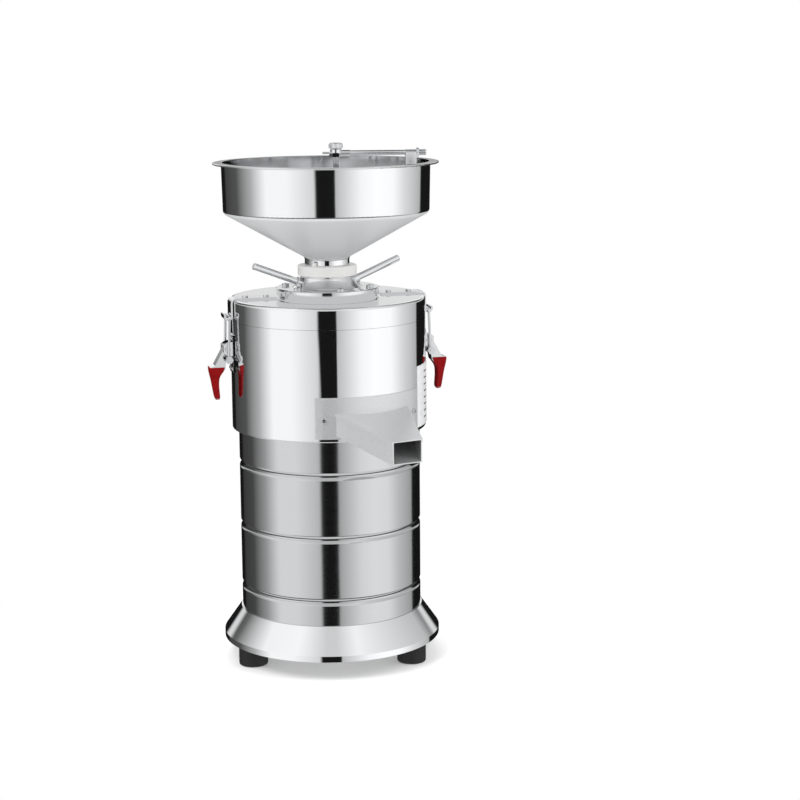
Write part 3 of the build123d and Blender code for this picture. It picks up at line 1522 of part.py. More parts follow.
with BuildPart() as water_pipe:
    with BuildLine(tap_line_plane) as pipe_line:
        FilletPolyline(
            (pipe_start + valve_port_length - pipe_socket, pipe_level),
            (pipe_end, pipe_level),
            (pipe_end, pipe_level - pipe_drop),
            radius=pipe_bend,
        )
    with BuildSketch(Plane(origin=pipe_line.line @ 0, z_dir=pipe_line.line % 0)):
        Circle(pipe_radius)
        Circle(pipe_bore, mode=Mode.SUBTRACT)
    sweep(path=pipe_line.line)
water_pipe.part.label = "water_pipe"
export_step(water_pipe.part, "parts/water_pipe.step")

# Tap body: hexagon, barrel, port for the pipe, blank plug and spigot down into the hopper
valve_base = Plane(origin=tap_axis + Vector(0, 0, valve_bottom_level), x_dir=tap_x)
port_start = Plane(origin=tap_axis + Vector(0, 0, pipe_level), x_dir=tap_y, z_dir=tap_x)
with BuildPart() as tap_body:
    with BuildSketch(valve_base):
        RegularPolygon(valve_radius + 0.5, 6)
    extrude(amount=valve_hex_height)
    with BuildSketch(valve_base):
        Circle(valve_radius - 1)
    extrude(amount=valve_height)
    with BuildSketch(port_start):
        Circle(valve_port_radius - 0.9)
    extrude(amount=valve_radius + valve_port_length)
    with BuildSketch(port_start):
        Circle(valve_plug_radius)
    extrude(amount=-valve_plug_length)
    with BuildSketch(valve_base):
        Circle(pipe_radius)
    extrude(amount=-spigot_length)
    with BuildSketch(valve_base.offset(-spigot_length)):
        Circle(pipe_bore)
    extrude(amount=spigot_length + valve_hex_height, mode=Mode.SUBTRACT)
    with BuildSketch(port_start):
        Circle(pipe_bore)
    extrude(amount=valve_radius + valve_port_length, mode=Mode.SUBTRACT)
    with BuildSketch(port_start.offset(valve_radius + valve_port_length - pipe_socket)):
        Circle(pipe_radius)
    extrude(amount=2 * pipe_socket, mode=Mode.SUBTRACT)
    with BuildSketch(valve_base.offset(valve_height)):
        Circle(stem_radius + running_gap)
    extrude(amount=-stem_length - slip, mode=Mode.SUBTRACT)
tap_body.part.label = "tap_body"
export_step(tap_body.part, "parts/tap_body.step")

# Tap knob with finger flutes and its stem
with BuildPart() as tap_knob:
    with BuildSketch(valve_base.offset(valve_height + slip)):
        Circle(knob_radius)
        with PolarLocations(knob_radius + knob_flute_offset, knob_flute_count):
            Circle(knob_flute_radius, mode=Mode.SUBTRACT)
    extrude(amount=knob_height)
    with BuildSketch(valve_base.offset(valve_height - stem_length)):
        Circle(stem_radius)
    extrude(amount=stem_length + 2)
tap_knob.part.label = "tap_knob"
export_step(tap_knob.part, "parts/tap_knob.step")

# Rim clamp: a jaw round the hopper rim with a riser that the pipe passes through
rim_top_level = rim_level + hopper_sheet / 2
rim_under_level = rim_level - hopper_sheet / 2
jaw_top_level = rim_under_level - clamp_jaw_drop
clamp_screw_place = (bowl_top_radius + rim_radius) / 2 + 0.5
jaw_back = rim_radius + 1
with BuildPart() as rim_clamp:
    with BuildSketch(radial_plane(clamp_angle)):
        with BuildLine():
            Polyline(
                (bowl_top_radius - 1, rim_top_level),
                (jaw_back, rim_top_level),
                (jaw_back, jaw_top_level),
                (bowl_top_radius + 1.2, jaw_top_level),
                (bowl_top_radius + 1.2, jaw_top_level - clamp_thickness),
                (jaw_back + clamp_thickness, jaw_top_level - clamp_thickness),
                (jaw_back + clamp_thickness, rim_top_level + clamp_thickness),
                (bowl_top_radius - 1 + clamp_riser, rim_top_level + clamp_thickness),
                (bowl_top_radius - 1 + clamp_riser, pipe_level + pipe_radius + 2),
                (bowl_top_radius - 1, pipe_level + pipe_radius + 2),
                close=True,
            )
        make_face()
    extrude(amount=clamp_width / 2, both=True)
    with BuildSketch(port_start):
        Circle(pipe_radius + running_gap)
    extrude(amount=2 * rim_radius, mode=Mode.SUBTRACT)
    with BuildSketch(Plane.XY.offset(jaw_top_level)):
        with Locations(at_angle(clamp_angle, clamp_screw_place)):
            Circle(clamp_screw_radius + running_gap)
    extrude(amount=-clamp_thickness, mode=Mode.SUBTRACT)
rim_clamp.part.label = "rim_clamp"
export_step(rim_clamp.part, "parts/rim_clamp.step")

# Thumb screw of the rim clamp, up against the underside of the rim
clamp_screw_bottom = jaw_top_level - clamp_thickness - clamp_screw_reach
with BuildPart() as clamp_screw:
    with Locations(at_angle(clamp_angle, clamp_screw_place, clamp_screw_bottom)):
        Cylinder(
            clamp_screw_radius,
            rim_under_level - clamp_screw_bottom,
            align=(Align.CENTER, Align.CENTER, Align.MIN),
        )
        Cylinder(
            clamp_knob_radius,
            clamp_knob_height,
            align=(Align.CENTER, Align.CENTER, Align.MAX),
        )
clamp_screw.part.label = "clamp_screw"
export_step(clamp_screw.part, "parts/clamp_screw.step")
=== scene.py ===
"""Visual model of a table-top nut butter mill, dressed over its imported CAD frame.

The studio, the finishes and the pieces each have an operator, and main() runs them in order.
Lengths are in metres. Angles called turn go round the mill axis from the outlet chute (-Y) and
are positive towards +X.
"""

import json
import math

import bpy
from mathutils import Matrix, Vector


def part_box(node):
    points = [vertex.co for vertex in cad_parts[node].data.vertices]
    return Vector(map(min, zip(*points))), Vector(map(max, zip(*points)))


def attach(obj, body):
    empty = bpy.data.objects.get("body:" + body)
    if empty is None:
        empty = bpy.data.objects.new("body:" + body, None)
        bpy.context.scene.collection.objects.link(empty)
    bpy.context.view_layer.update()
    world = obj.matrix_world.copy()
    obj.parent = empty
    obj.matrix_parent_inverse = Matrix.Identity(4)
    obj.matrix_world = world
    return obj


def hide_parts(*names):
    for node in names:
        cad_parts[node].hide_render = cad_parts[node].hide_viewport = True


bl_info = {
    "name": "Nut Butter Mill",
    "version": (1, 0, 0),
    "blender": (4, 5, 0),
    "location": "View3D > Sidebar > Mill",
    "description": "Dresses the CAD frame of a nut butter mill with its finishes, pieces and studio",
    "category": "Object",
}

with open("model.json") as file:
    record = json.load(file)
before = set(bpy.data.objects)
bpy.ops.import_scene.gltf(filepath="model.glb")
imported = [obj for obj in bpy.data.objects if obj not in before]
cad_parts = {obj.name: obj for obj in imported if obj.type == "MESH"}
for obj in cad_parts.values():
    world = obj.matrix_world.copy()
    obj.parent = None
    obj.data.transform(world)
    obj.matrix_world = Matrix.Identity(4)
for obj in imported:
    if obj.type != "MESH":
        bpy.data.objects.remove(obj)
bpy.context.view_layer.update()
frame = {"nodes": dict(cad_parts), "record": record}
NODES = frame["nodes"]
WHITE = (1.0, 1.0, 1.0, 1.0)


def linear(code):
    """Linear RGBA of an sRGB hex code such as "#8899AA"."""
    parts = [int(code[i : i + 2], 16) / 255 for i in (1, 3, 5)]
    return tuple(
        part / 12.92 if part <= 0.04045 else ((part + 0.055) / 1.055) ** 2.4 for part in parts
    ) + (1.0,)


def direction(turn):
    """Unit vector outwards at a turn round the axis, in degrees."""
    return Vector((math.sin(math.radians(turn)), -math.cos(math.radians(turn)), 0.0))


def add_node(tree, kind, settings=None, inputs=None):
    """Adds one node, sets its properties, and fills its inputs with values or links."""
    node = tree.nodes.new(kind)
    for name, value in (settings or {}).items():
        setattr(node, name, value)
    for name, value in (inputs or {}).items():
        if isinstance(value, bpy.types.NodeSocket):
            tree.links.new(value, node.inputs[name])
        else:
            node.inputs[name].default_value = value
    return node


def set_ramp(node, stops):
    """Gives a colour ramp its stops, each a position and a grey level."""
    elements = node.color_ramp.elements
    while len(elements) > 1:
        elements.remove(elements[-1])
    elements[0].position, level = stops[0]
    elements[0].color = (level, level, level, 1.0)
    for position, level in stops[1:]:
        element = elements.new(position)
        element.color = (level, level, level, 1.0)


def new_finish(name):
    """A material with an empty tree, its shader and its output. Returns it with both."""
    material = bpy.data.materials.new(name)
    material.use_nodes = True
    tree = material.node_tree
    tree.nodes.clear()
    shader = add_node(tree, "ShaderNodeBsdfPrincipled")
    add_node(tree, "ShaderNodeOutputMaterial", inputs={"Surface": shader.outputs["BSDF"]})
    return material, tree, shader


# Studio


class MillStudio(bpy.types.PropertyGroup):
    """Sizes and levels of the studio."""

    floor_size: bpy.props.FloatProperty(
        name="Floor size", description="Side of the square floor", default=14.0, unit="LENGTH"
    )
    floor_colour: bpy.props.StringProperty(
        name="Floor colour", description="sRGB hex colour of the floor", default="#F2F2F2"
    )
    floor_lift: bpy.props.FloatProperty(
        name="Floor lift", description="Light added to the floor near the machine", default=0.16
    )
    lamp_power: bpy.props.FloatProperty(
        name="Lamp power", description="Power of the main soft lamp, in watts", default=26.0
    )
    world_level: bpy.props.FloatProperty(
        name="World level", description="Plain light from all round", default=0.78
    )
    lens: bpy.props.FloatProperty(
        name="Lens", description="Focal length of the camera, in millimetres", default=86.12
    )


class MILL_OT_stage(bpy.types.Operator):
    """Adds the floor, the lamps, the reflections of the studio and the camera"""

    bl_idname = "mill.stage"
    bl_label = "Studio"

    def execute(self, context):
        studio = context.scene.mill_studio
        self.add_floor(studio)
        self.add_lamps(studio)
        self.set_world(context.scene, studio)
        self.add_camera(context.scene, studio)
        return {"FINISHED"}

    def add_floor(self, studio):
        bpy.ops.mesh.primitive_plane_add(size=studio.floor_size, location=(0, 0, 0))
        floor = bpy.context.object
        floor.name = "studio_floor"
        material = bpy.data.materials.new("matt_white_floor")
        material.use_nodes = True
        tree = material.node_tree
        tree.nodes.clear()
        paint = add_node(
            tree, "ShaderNodeBsdfDiffuse", inputs={"Color": linear(studio.floor_colour)}
        )
        lift = add_node(
            tree, "ShaderNodeEmission", inputs={"Color": WHITE, "Strength": studio.floor_lift}
        )
        near = add_node(
            tree,
            "ShaderNodeAddShader",
            inputs={0: paint.outputs["BSDF"], 1: lift.outputs["Emission"]},
        )
        # Away from the machine the paper is burnt out to plain white, as in a product picture.
        shadow_reach = 0.17
        paper_reach = 0.55
        far = add_node(tree, "ShaderNodeEmission", inputs={"Color": WHITE})
        place = add_node(tree, "ShaderNodeTexCoord")
        reach = add_node(
            tree, "ShaderNodeVectorMath", {"operation": "LENGTH"}, {0: place.outputs["Object"]}
        )
        fade = add_node(
            tree,
            "ShaderNodeMapRange",
            {"interpolation_type": "SMOOTHSTEP"},
            {"Value": reach.outputs["Value"], "From Min": shadow_reach, "From Max": paper_reach},
        )
        both = add_node(
            tree,
            "ShaderNodeMixShader",
            inputs={
                "Fac": fade.outputs["Result"],
                1: near.outputs["Shader"],
                2: far.outputs["Emission"],
            },
        )
        add_node(
            tree, "ShaderNodeOutputMaterial", inputs={"Surface": both.outputs["Shader"]}
        )
        floor.data.materials.append(material)
        floor.visible_glossy = False

    def add_lamps(self, studio):
        aim = Vector((0.0, 0.0, 0.35))
        for name, turn, distance, height, size, share in (
            ("key_lamp", -75.0, 1.6, 2.0, 1.4, 1.0),
            ("fill_lamp", 35.0, 1.8, 1.8, 1.6, 0.6),
            ("back_lamp", 160.0, 1.8, 2.2, 1.6, 0.6),
        ):
            place = direction(turn) * distance + Vector((0, 0, height))
            bpy.ops.object.light_add(type="AREA", location=place)
            lamp = bpy.context.object
            lamp.name = name
            lamp.data.shape = "DISK"
            lamp.data.size = size
            lamp.data.energy = studio.lamp_power * share
            lamp.rotation_euler = (aim - place).to_track_quat("-Z", "Y").to_euler()
            lamp.visible_glossy = False
            lamp.visible_camera = False

    def set_world(self, scene, studio):
        world = bpy.data.worlds.new("light_tent")
        scene.world = world
        world.use_nodes = True
        tree = world.node_tree
        tree.nodes.clear()
        # Glossy rays see a tent of white cloth with dark flags: one on the camera's side and one
        # round the back, so that polished walls get their stripe and their dark edges. The tent
        # is turned so that share 0.5 of its round is the camera's side.
        tent_turn = math.radians(27.7 + 90.0)
        place = add_node(tree, "ShaderNodeTexCoord")
        turned = add_node(
            tree,
            "ShaderNodeMapping",
            {"vector_type": "POINT"},
            {"Vector": place.outputs["Generated"], "Rotation": (0, 0, tent_turn)},
        )
        axes = add_node(
            tree, "ShaderNodeSeparateXYZ", inputs={"Vector": turned.outputs["Vector"]}
        )
        angle = add_node(
            tree,
            "ShaderNodeMath",
            {"operation": "ARCTAN2"},
            {0: axes.outputs["Y"], 1: axes.outputs["X"]},
        )
        share = add_node(
            tree,
            "ShaderNodeMapRange",
            inputs={
                "Value": angle.outputs["Value"],
                "From Min": -math.pi,
                "From Max": math.pi,
            },
        )
        # Walls of the tent: the flags are the stops near 0, the panels the ones over 1.
        cloth = add_node(tree, "ShaderNodeValToRGB", inputs={"Fac": share.outputs["Result"]})
        set_ramp(
            cloth,
            (
                (0.0, 0.01),
                (0.09, 0.01),
                (0.10, 0.06),
                (0.18, 0.10),
                (0.25, 0.5),
                (0.31, 1.15),
                (0.38, 1.15),
                (0.4685, 0.8),
                (0.4690, 0.01),
                (0.5285, 0.01),
                (0.5290, 0.6),
                (0.61, 1.15),
                (0.66, 1.25),
                (0.72, 1.2),
                (0.77, 0.85),
                (0.855, 0.5),
                (0.856, 0.01),
                (1.0, 0.01),
            ),
        )
        # Sloping canopy over the walls, which the skirt and the hub reflect.
        canopy = add_node(tree, "ShaderNodeValToRGB", inputs={"Fac": share.outputs["Result"]})
        set_ramp(
            canopy,
            (
                (0.0, 1.1),
                (0.06, 1.1),
                (0.10, 0.05),
                (0.15, 0.15),
                (0.26, 1.1),
                (0.37, 1.15),
                (0.48, 0.75),
                (0.52, 0.75),
                (0.60, 1.1),
                (0.84, 0.6),
                (0.88, 0.2),
                (0.93, 0.2),
                (0.96, 1.1),
                (1.0, 1.1),
            ),
        )
        tent = cloth.outputs["Color"]
        # Each band covers the ones before it from its start to its end, which are heights of
        # the ray's direction: pale border, canopy, dark top, dark floor edge and white floor.
        for start, end, colour in (
            (0.02, 0.09, (0.80, 0.80, 0.80, 1.0)),
            (0.15, 0.22, canopy.outputs["Color"]),
            (0.897, 0.912, (0.05, 0.05, 0.05, 1.0)),
            (-0.33, -0.40, (0.12, 0.12, 0.12, 1.0)),
            (-0.58, -0.68, (0.98, 0.98, 0.98, 1.0)),
        ):
            zone = add_node(
                tree,
                "ShaderNodeMapRange",
                inputs={"Value": axes.outputs["Z"], "From Min": start, "From Max": end},
            )
            tent = add_node(
                tree,
                "ShaderNodeMix",
                {"data_type": "RGBA"},
                {"Factor": zone.outputs["Result"], "A": tent, "B": colour},
            ).outputs["Result"]
        path = add_node(tree, "ShaderNodeLightPath")
        plain = add_node(
            tree,
            "ShaderNodeMix",
            {"data_type": "RGBA"},
            {
                "Factor": path.outputs["Is Camera Ray"],
                "A": (studio.world_level,) * 3 + (1.0,),
                "B": WHITE,
            },
        )
        colour = add_node(
            tree,
            "ShaderNodeMix",
            {"data_type": "RGBA"},
            {
                "Factor": path.outputs["Is Glossy Ray"],
                "A": plain.outputs["Result"],
                "B": tent,
            },
        )
        light = add_node(
            tree, "ShaderNodeBackground", inputs={"Color": colour.outputs["Result"]}
        )
        add_node(
            tree, "ShaderNodeOutputWorld", inputs={"Surface": light.outputs["Background"]}
        )

    def add_camera(self, scene, studio):
        # The place and the three angles were fitted to the rims and walls in the picture.
        heading, fall, roll = (math.radians(angle) for angle in (29.157, 10.36, 0.43))
        bpy.ops.object.camera_add(location=(-1.15981, -2.27626, 0.816))
        camera = bpy.context.object
        camera.name = "photo_camera"
        camera.data.sensor_width = 36.0
        camera.data.sensor_fit = "HORIZONTAL"
        camera.data.lens = studio.lens
        camera.data.clip_end = 50.0
        camera.rotation_euler = (
            Matrix.Rotation(-heading, 3, "Z")
            @ Matrix.Rotation(math.pi / 2 - fall, 3, "X")
            @ Matrix.Rotation(-roll, 3, "Z")
        ).to_euler()
        scene.camera = camera
        scene.view_settings.view_transform = "Standard"


# Finishes


class MillFinishes(bpy.types.PropertyGroup):
    """Colours of the finishes, as sRGB hex codes."""

    polished_colour: bpy.props.StringProperty(
        name="Polished steel", description="Colour of the mirror-polished steel", default="#E6E7E8"
    )
    satin_colour: bpy.props.StringProperty(
        name="Satin steel", description="Colour of the brushed sheet steel", default="#DCDDDE"
    )
    nylon_colour: bpy.props.StringProperty(
        name="Nylon", description="Colour of the feed ring", default="#F7F7F5"
    )
    grip_colour: bpy.props.StringProperty(
        name="Grips", description="Colour of the dipped latch grips", default="#94080D"
    )


SATIN_ROUGHNESS = 0.42
SATIN_METAL = 0.3


def polished_sheet(name, colour, roughness, wave, lines=0.0, satin_band=None):
    """Spun stainless sheet, buffed to a mirror: long faint waves from the rolling, and fine
    turning marks round the axis that break up the highlights. Between the two levels of the
    band it stays satin."""
    material, tree, shader = new_finish(name)
    place = add_node(tree, "ShaderNodeTexCoord")
    axes = add_node(
        tree, "ShaderNodeSeparateXYZ", inputs={"Vector": place.outputs["Object"]}
    )
    flat = add_node(
        tree,
        "ShaderNodeCombineXYZ",
        inputs={"X": axes.outputs["X"], "Y": axes.outputs["Y"]},
    )
    radius = add_node(
        tree, "ShaderNodeVectorMath", {"operation": "LENGTH"}, {0: flat.outputs["Vector"]}
    )
    rings = add_node(
        tree,
        "ShaderNodeCombineXYZ",
        inputs={"X": radius.outputs["Value"], "Z": axes.outputs["Z"]},
    )
    # Real turning marks are far finer than a pixel; these are 1.2 mm apart, so that they show.
    marks = add_node(
        tree,
        "ShaderNodeTexNoise",
        inputs={
            "Vector": rings.outputs["Vector"],
            "Scale": 850.0,
            "Detail": 3.0,
            "Roughness": 0.6,
        },
    )
    # The rolling leaves a faint wave about every 70 mm.
    waves = add_node(
        tree,
        "ShaderNodeTexNoise",
        inputs={"Vector": place.outputs["Object"], "Scale": 14.0, "Detail": 1.5},
    )
    sheen = add_node(
        tree,
        "ShaderNodeMapRange",
        inputs={
            "Value": marks.outputs["Fac"],
            "From Min": 0.3,
            "From Max": 0.7,
            "To Min": roughness * 0.8,
            "To Max": roughness * 1.25,
        },
    )
    gloss = sheen.outputs["Result"]
    if satin_band is not None:
        low, high = satin_band
        satin = add_node(
            tree,
            "ShaderNodeMath",
            {"operation": "COMPARE"},
            {0: axes.outputs["Z"], 1: (low + high) / 2, 2: (high - low) / 2},
        )
        gloss = add_node(
            tree,
            "ShaderNodeMapRange",
            inputs={"Value": satin.outputs["Value"], "To Min": gloss, "To Max": SATIN_ROUGHNESS},
        ).outputs["Result"]
        pale = add_node(
            tree,
            "ShaderNodeMapRange",
            inputs={"Value": satin.outputs["Value"], "To Min": 1.0, "To Max": SATIN_METAL},
        )
        tree.links.new(pale.outputs["Result"], shader.inputs["Metallic"])
    tree.links.new(gloss, shader.inputs["Roughness"])
    sway = add_node(
        tree,
        "ShaderNodeBump",
        inputs={"Strength": 1.0, "Distance": wave, "Height": waves.outputs["Fac"]},
    )
    relief = sway
    if lines:
        relief = add_node(
            tree,
            "ShaderNodeBump",
            inputs={
                "Strength": 1.0,
                "Distance": lines,
                "Height": marks.outputs["Fac"],
                "Normal": sway.outputs["Normal"],
            },
        )
    tree.links.new(relief.outputs["Normal"], shader.inputs["Normal"])
    shader.inputs["Base Color"].default_value = linear(colour)
    if satin_band is None:
        shader.inputs["Metallic"].default_value = 1.0
    return material


def make_uneven(tree, shader, pattern, colour, shade, spread, roughness, glosses, depth):
    """Lets a pattern vary the shader's colour, gloss and height. The low parts have the share
    called shade of the colour, over a spread of the pattern's values, and glosses are the
    shares of the roughness in the low and the high parts."""
    base = linear(colour)
    tint = add_node(tree, "ShaderNodeValToRGB", inputs={"Fac": pattern.outputs["Fac"]})
    low, high = tint.color_ramp.elements
    low.position, high.position = spread
    low.color = tuple(part * shade for part in base[:3]) + (1.0,)
    high.color = base
    sheen = add_node(
        tree,
        "ShaderNodeMapRange",
        inputs={
            "Value": pattern.outputs["Fac"],
            "From Min": 0.3,
            "From Max": 0.7,
            "To Min": roughness * glosses[0],
            "To Max": roughness * glosses[1],
        },
    )
    relief = add_node(
        tree,
        "ShaderNodeBump",
        inputs={"Strength": 1.0, "Distance": depth, "Height": pattern.outputs["Fac"]},
    )
    tree.links.new(tint.outputs["Color"], shader.inputs["Base Color"])
    tree.links.new(sheen.outputs["Result"], shader.inputs["Roughness"])
    tree.links.new(relief.outputs["Normal"], shader.inputs["Normal"])


def brushed_sheet(name, colour, roughness, grain, depth, metallic=1.0):
    """Metal worked in one direction: short scratches of uneven depth, with grain as their
    number per metre along each axis. Below 1 the metal share leaves some matt haze."""
    material, tree, shader = new_finish(name)
    place = add_node(tree, "ShaderNodeTexCoord")
    stretched = add_node(
        tree,
        "ShaderNodeMapping",
        inputs={"Vector": place.outputs["Object"], "Scale": grain},
    )
    scratches = add_node(
        tree,
        "ShaderNodeTexNoise",
        inputs={
            "Vector": stretched.outputs["Vector"],
            "Scale": 1.0,
            "Detail": 6.0,
            "Roughness": 0.65,
        },
    )
    make_uneven(
        tree, shader, scratches, colour, 0.9, (0.3, 0.7), roughness, (0.85, 1.2), depth
    )
    shader.inputs["Metallic"].default_value = metallic
    return material


def moulded(name, colour, roughness, grain, depth, shade=0.96, specular=0.5):
    """Moulded or dipped plastic, rubber and stone: a skin with slightly uneven gloss, with
    grain as the number of its specks per metre."""
    material, tree, shader = new_finish(name)
    place = add_node(tree, "ShaderNodeTexCoord")
    skin = add_node(
        tree,
        "ShaderNodeTexNoise",
        inputs={"Vector": place.outputs["Object"], "Scale": grain, "Detail": 4.0},
    )
    make_uneven(
        tree, shader, skin, colour, shade, (0.35, 0.65), roughness, (0.85, 1.15), depth
    )
    shader.inputs["Specular IOR Level"].default_value = specular
    return material


class MILL_OT_finishes(bpy.types.Operator):
    """Makes the finishes and gives them to the CAD nodes"""

    bl_idname = "mill.finishes"
    bl_label = "Finishes"

    def execute(self, context):
        colours = context.scene.mill_finishes
        made = {
            # Buffed to a mirror: near-black flags and white panels with sharp edges.
            "polished_steel": polished_sheet(
                "mirror_polished_steel", colours.polished_colour, roughness=0.05, wave=0.00018
            ),
            # Rolled, then only buffed: the same stripes, greyer and a little blurred.
            "spun_steel": polished_sheet(
                "buffed_rolled_steel", "#C4C5C6", roughness=0.11, wave=0.00018, lines=0.000004
            ),
            # Brushed sheet: an even pale grey with short strokes 2 mm wide and 25 mm long,
            # which are coarser than the real ones, so that they show.
            "satin_steel": brushed_sheet(
                "brushed_steel",
                colours.satin_colour,
                roughness=0.36,
                grain=(500.0, 40.0, 500.0),
                depth=0.00003,
                metallic=0.7,
            ),
            # Turned on a lathe: bright, with fine rings that streak the highlights.
            "machined_steel": polished_sheet(
                "turned_steel", "#DEDFE0", roughness=0.07, wave=0.00005, lines=0.000006
            ),
            # Zinc plating: a softer, greyer shine than the stainless steel round it.
            "fastener_steel": polished_sheet(
                "zinc_plated_steel", "#D6D7D9", roughness=0.18, wave=0.00005, lines=0.000004
            ),
            # Turned nylon: a waxy white with no clear reflections.
            "white_nylon": moulded(
                "turned_white_nylon",
                colours.nylon_colour,
                roughness=0.4,
                grain=70.0,
                depth=0.00001,
                shade=0.985,
            ),
            # Hot-dipped vinyl: deep red with a soft gloss and a slightly bumpy skin.
            "red_vinyl": moulded(
                "dipped_red_vinyl",
                colours.grip_colour,
                roughness=0.3,
                grain=160.0,
                depth=0.00004,
                shade=0.8,
                specular=0.12,
            ),
            # Moulded rubber: flat black with a fine grain.
            "black_rubber": moulded(
                "moulded_black_rubber", "#141415", roughness=0.62, grain=900.0, depth=0.00008
            ),
            # Silicone rubber: milky white and half matt.
            "gasket_rubber": moulded(
                "white_silicone_rubber", "#E6E5E0", roughness=0.5, grain=500.0, depth=0.00003
            ),
            # Moulded ABS: black with the faint sparkle of a fine spark-eroded mould.
            "black_plastic": moulded(
                "moulded_black_abs", "#1C1C1E", roughness=0.42, grain=1200.0, depth=0.00003
            ),
            # Machined aluminium: a plain mid grey with a cloudy shine.
            "cast_aluminium": brushed_sheet(
                "machined_aluminium", "#BFC0C0", 0.38, grain=(300.0, 300.0, 300.0), depth=0.00003
            ),
            # Stacked and varnished sheet: brown-grey with fine level lines.
            "core_steel": brushed_sheet(
                "varnished_core_steel", "#55504A", 0.45, grain=(30.0, 30.0, 1600.0), depth=0.00004
            ),
            # Wound and varnished wire: copper red with upright strands.
            "winding_copper": brushed_sheet(
                "varnished_copper_wire", "#A8622F", 0.32, grain=(700.0, 700.0, 60.0), depth=0.0001
            ),
            # Bonded emery: dull grey with a grit that can be felt.
            "grinding_stone": moulded(
                "emery_stone", "#8C8880", roughness=0.85, grain=1400.0, depth=0.0003
            ),
            # Enamelled plate: smooth off-white with a wide soft shine.
            "plate_white": moulded(
                "pale_enamelled_plate", "#EDEFF0", roughness=0.30, grain=90.0, depth=0.00001
            ),
        }
        context.scene["mill_finish_names"] = {slot: m.name for slot, m in made.items()}
        slots = {part["node"]: part["material_slot"] for part in frame["record"]["subparts"]}
        # The bowl is a mirror at its wall and neck, and its cone is left satin between them.
        bowl = polished_sheet(
            "spun_bowl_steel",
            colours.polished_colour,
            roughness=0.06,
            wave=0.00018,
            satin_band=(0.5455, 0.607),
        )
        for name, node in NODES.items():
            for place in node.material_slots:
                place.material = bowl if name == "hopper" else made[slots[name]]
        return {"FINISHED"}


# Pieces


def outward(turn, radius, level, aside=0.0):
    """Placement on the machine's side: X along the tangent, Y up and Z outwards."""
    out = direction(turn)
    up = Vector((0.0, 0.0, 1.0))
    along = up.cross(out)
    placement = Matrix((along, up, out)).transposed().to_4x4()
    placement.translation = out * radius + along * aside + up * level
    return placement


def upright(turn, radius, level):
    """Placement on the machine's side: X outwards, Y along the tangent and Z up."""
    placement = Matrix.Rotation(math.radians(turn - 90.0), 4, "Z")
    placement.translation = direction(turn) * radius + Vector((0.0, 0.0, level))
    return placement


def over_hopper(tap, along, level):
    """Placement on the tap's line: X along the pipe, away from the tap, and Z up."""
    turned = Matrix.Rotation(math.radians(tap.turn), 4, "Z")
    return turned @ Matrix.Translation((along, -tap.depth, level))


def pick(*pieces):
    """Selects these pieces, with the first one active."""
    bpy.ops.object.select_all(action="DESELECT")
    for piece in pieces:
        piece.select_set(True)
    bpy.context.view_layer.objects.active = pieces[0]


def join(pieces):
    """Joins the pieces into the first one."""
    pick(*pieces)
    bpy.ops.object.join()
    return pieces[0]


def settle(piece, placement=Matrix()):
    """Moves a piece by a placement, into its mesh."""
    pick(piece)
    bpy.ops.object.transform_apply(location=True, rotation=True, scale=True)
    piece.matrix_world = placement
    bpy.ops.object.transform_apply(location=True, rotation=True, scale=True)
    return piece


def modify(piece, kind, **settings):
    """Adds a modifier, sets it and applies it."""
    pick(piece)
    modifier = piece.modifiers.new(kind.lower(), kind)
    for name, value in settings.items():
        setattr(modifier, name, value)
    bpy.ops.object.modifier_apply(modifier=modifier.name)


def soften(piece, width, segments=3, angle=40.0):
    """Rounds the edges that are sharper than an angle."""
    settle(piece)
    modify(
        piece,
        "BEVEL",
        width=width,
        segments=segments,
        limit_method="ANGLE",
        angle_limit=math.radians(angle),
    )


def cut(piece, cutter):
    """Takes a cutter's shape out of a piece."""
    modify(piece, "BOOLEAN", operation="DIFFERENCE", object=cutter, solver="EXACT")
    bpy.data.objects.remove(cutter)


def cylinder(radius, bottom, top, vertices=48, x=0.0, y=0.0):
    """Upright cylinder between two levels."""
    bpy.ops.mesh.primitive_cylinder_add(
        vertices=vertices,
        radius=radius,
        depth=top - bottom,
        location=(x, y, (bottom + top) / 2),
    )
    return bpy.context.object


def block(size, middle):
    """Box of a size about its middle."""
    bpy.ops.mesh.primitive_cube_add(size=1.0, location=middle, scale=size)
    return settle(bpy.context.object)


def tube(radius, bore, bottom, top, edge):
    """Upright tube with softened edges."""
    wall = cylinder(radius, bottom, top)
    cut(wall, cylinder(bore, bottom - radius, top + radius))
    soften(wall, edge, 2)
    return wall


def thread(radius, pitch, bottom, turns):
    """Ridge of a screw thread: a three-sided profile wound up round the axis."""
    bpy.ops.mesh.primitive_circle_add(
        vertices=3,
        radius=0.62 * pitch,
        location=(radius, 0.0, bottom),
        rotation=(math.pi / 2, math.pi / 2, 0.0),
    )
    ridge = settle(bpy.context.object)
    modify(
        ridge,
        "SCREW",
        angle=2 * math.pi,
        screw_offset=pitch,
        iterations=turns,
        steps=32,
        render_steps=32,
    )
    return ridge


def pan_head(radius, height):
    """Head of a pan-head screw with a cross recess. It stands on z = 0, its round foot below."""
    foot = 0.45 * height
    head = cylinder(radius, -foot, height)
    soften(head, foot, 5)
    for size in ((1.25 * radius, 0.28 * radius), (0.28 * radius, 1.25 * radius)):
        cut(head, block((*size, height), (0.0, 0.0, height)))
    return head


def complete(piece, name, body, slot, angle=35.0):
    """Names a piece, smooths it, gives it its finish and lets it ride on its body."""
    piece.name = name
    pick(piece)
    bpy.ops.object.shade_smooth_by_angle(angle=math.radians(angle))
    piece.data.materials.clear()
    piece.data.materials.append(
        bpy.data.materials[bpy.context.scene["mill_finish_names"][slot]]
    )
    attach(piece, body)
    return piece


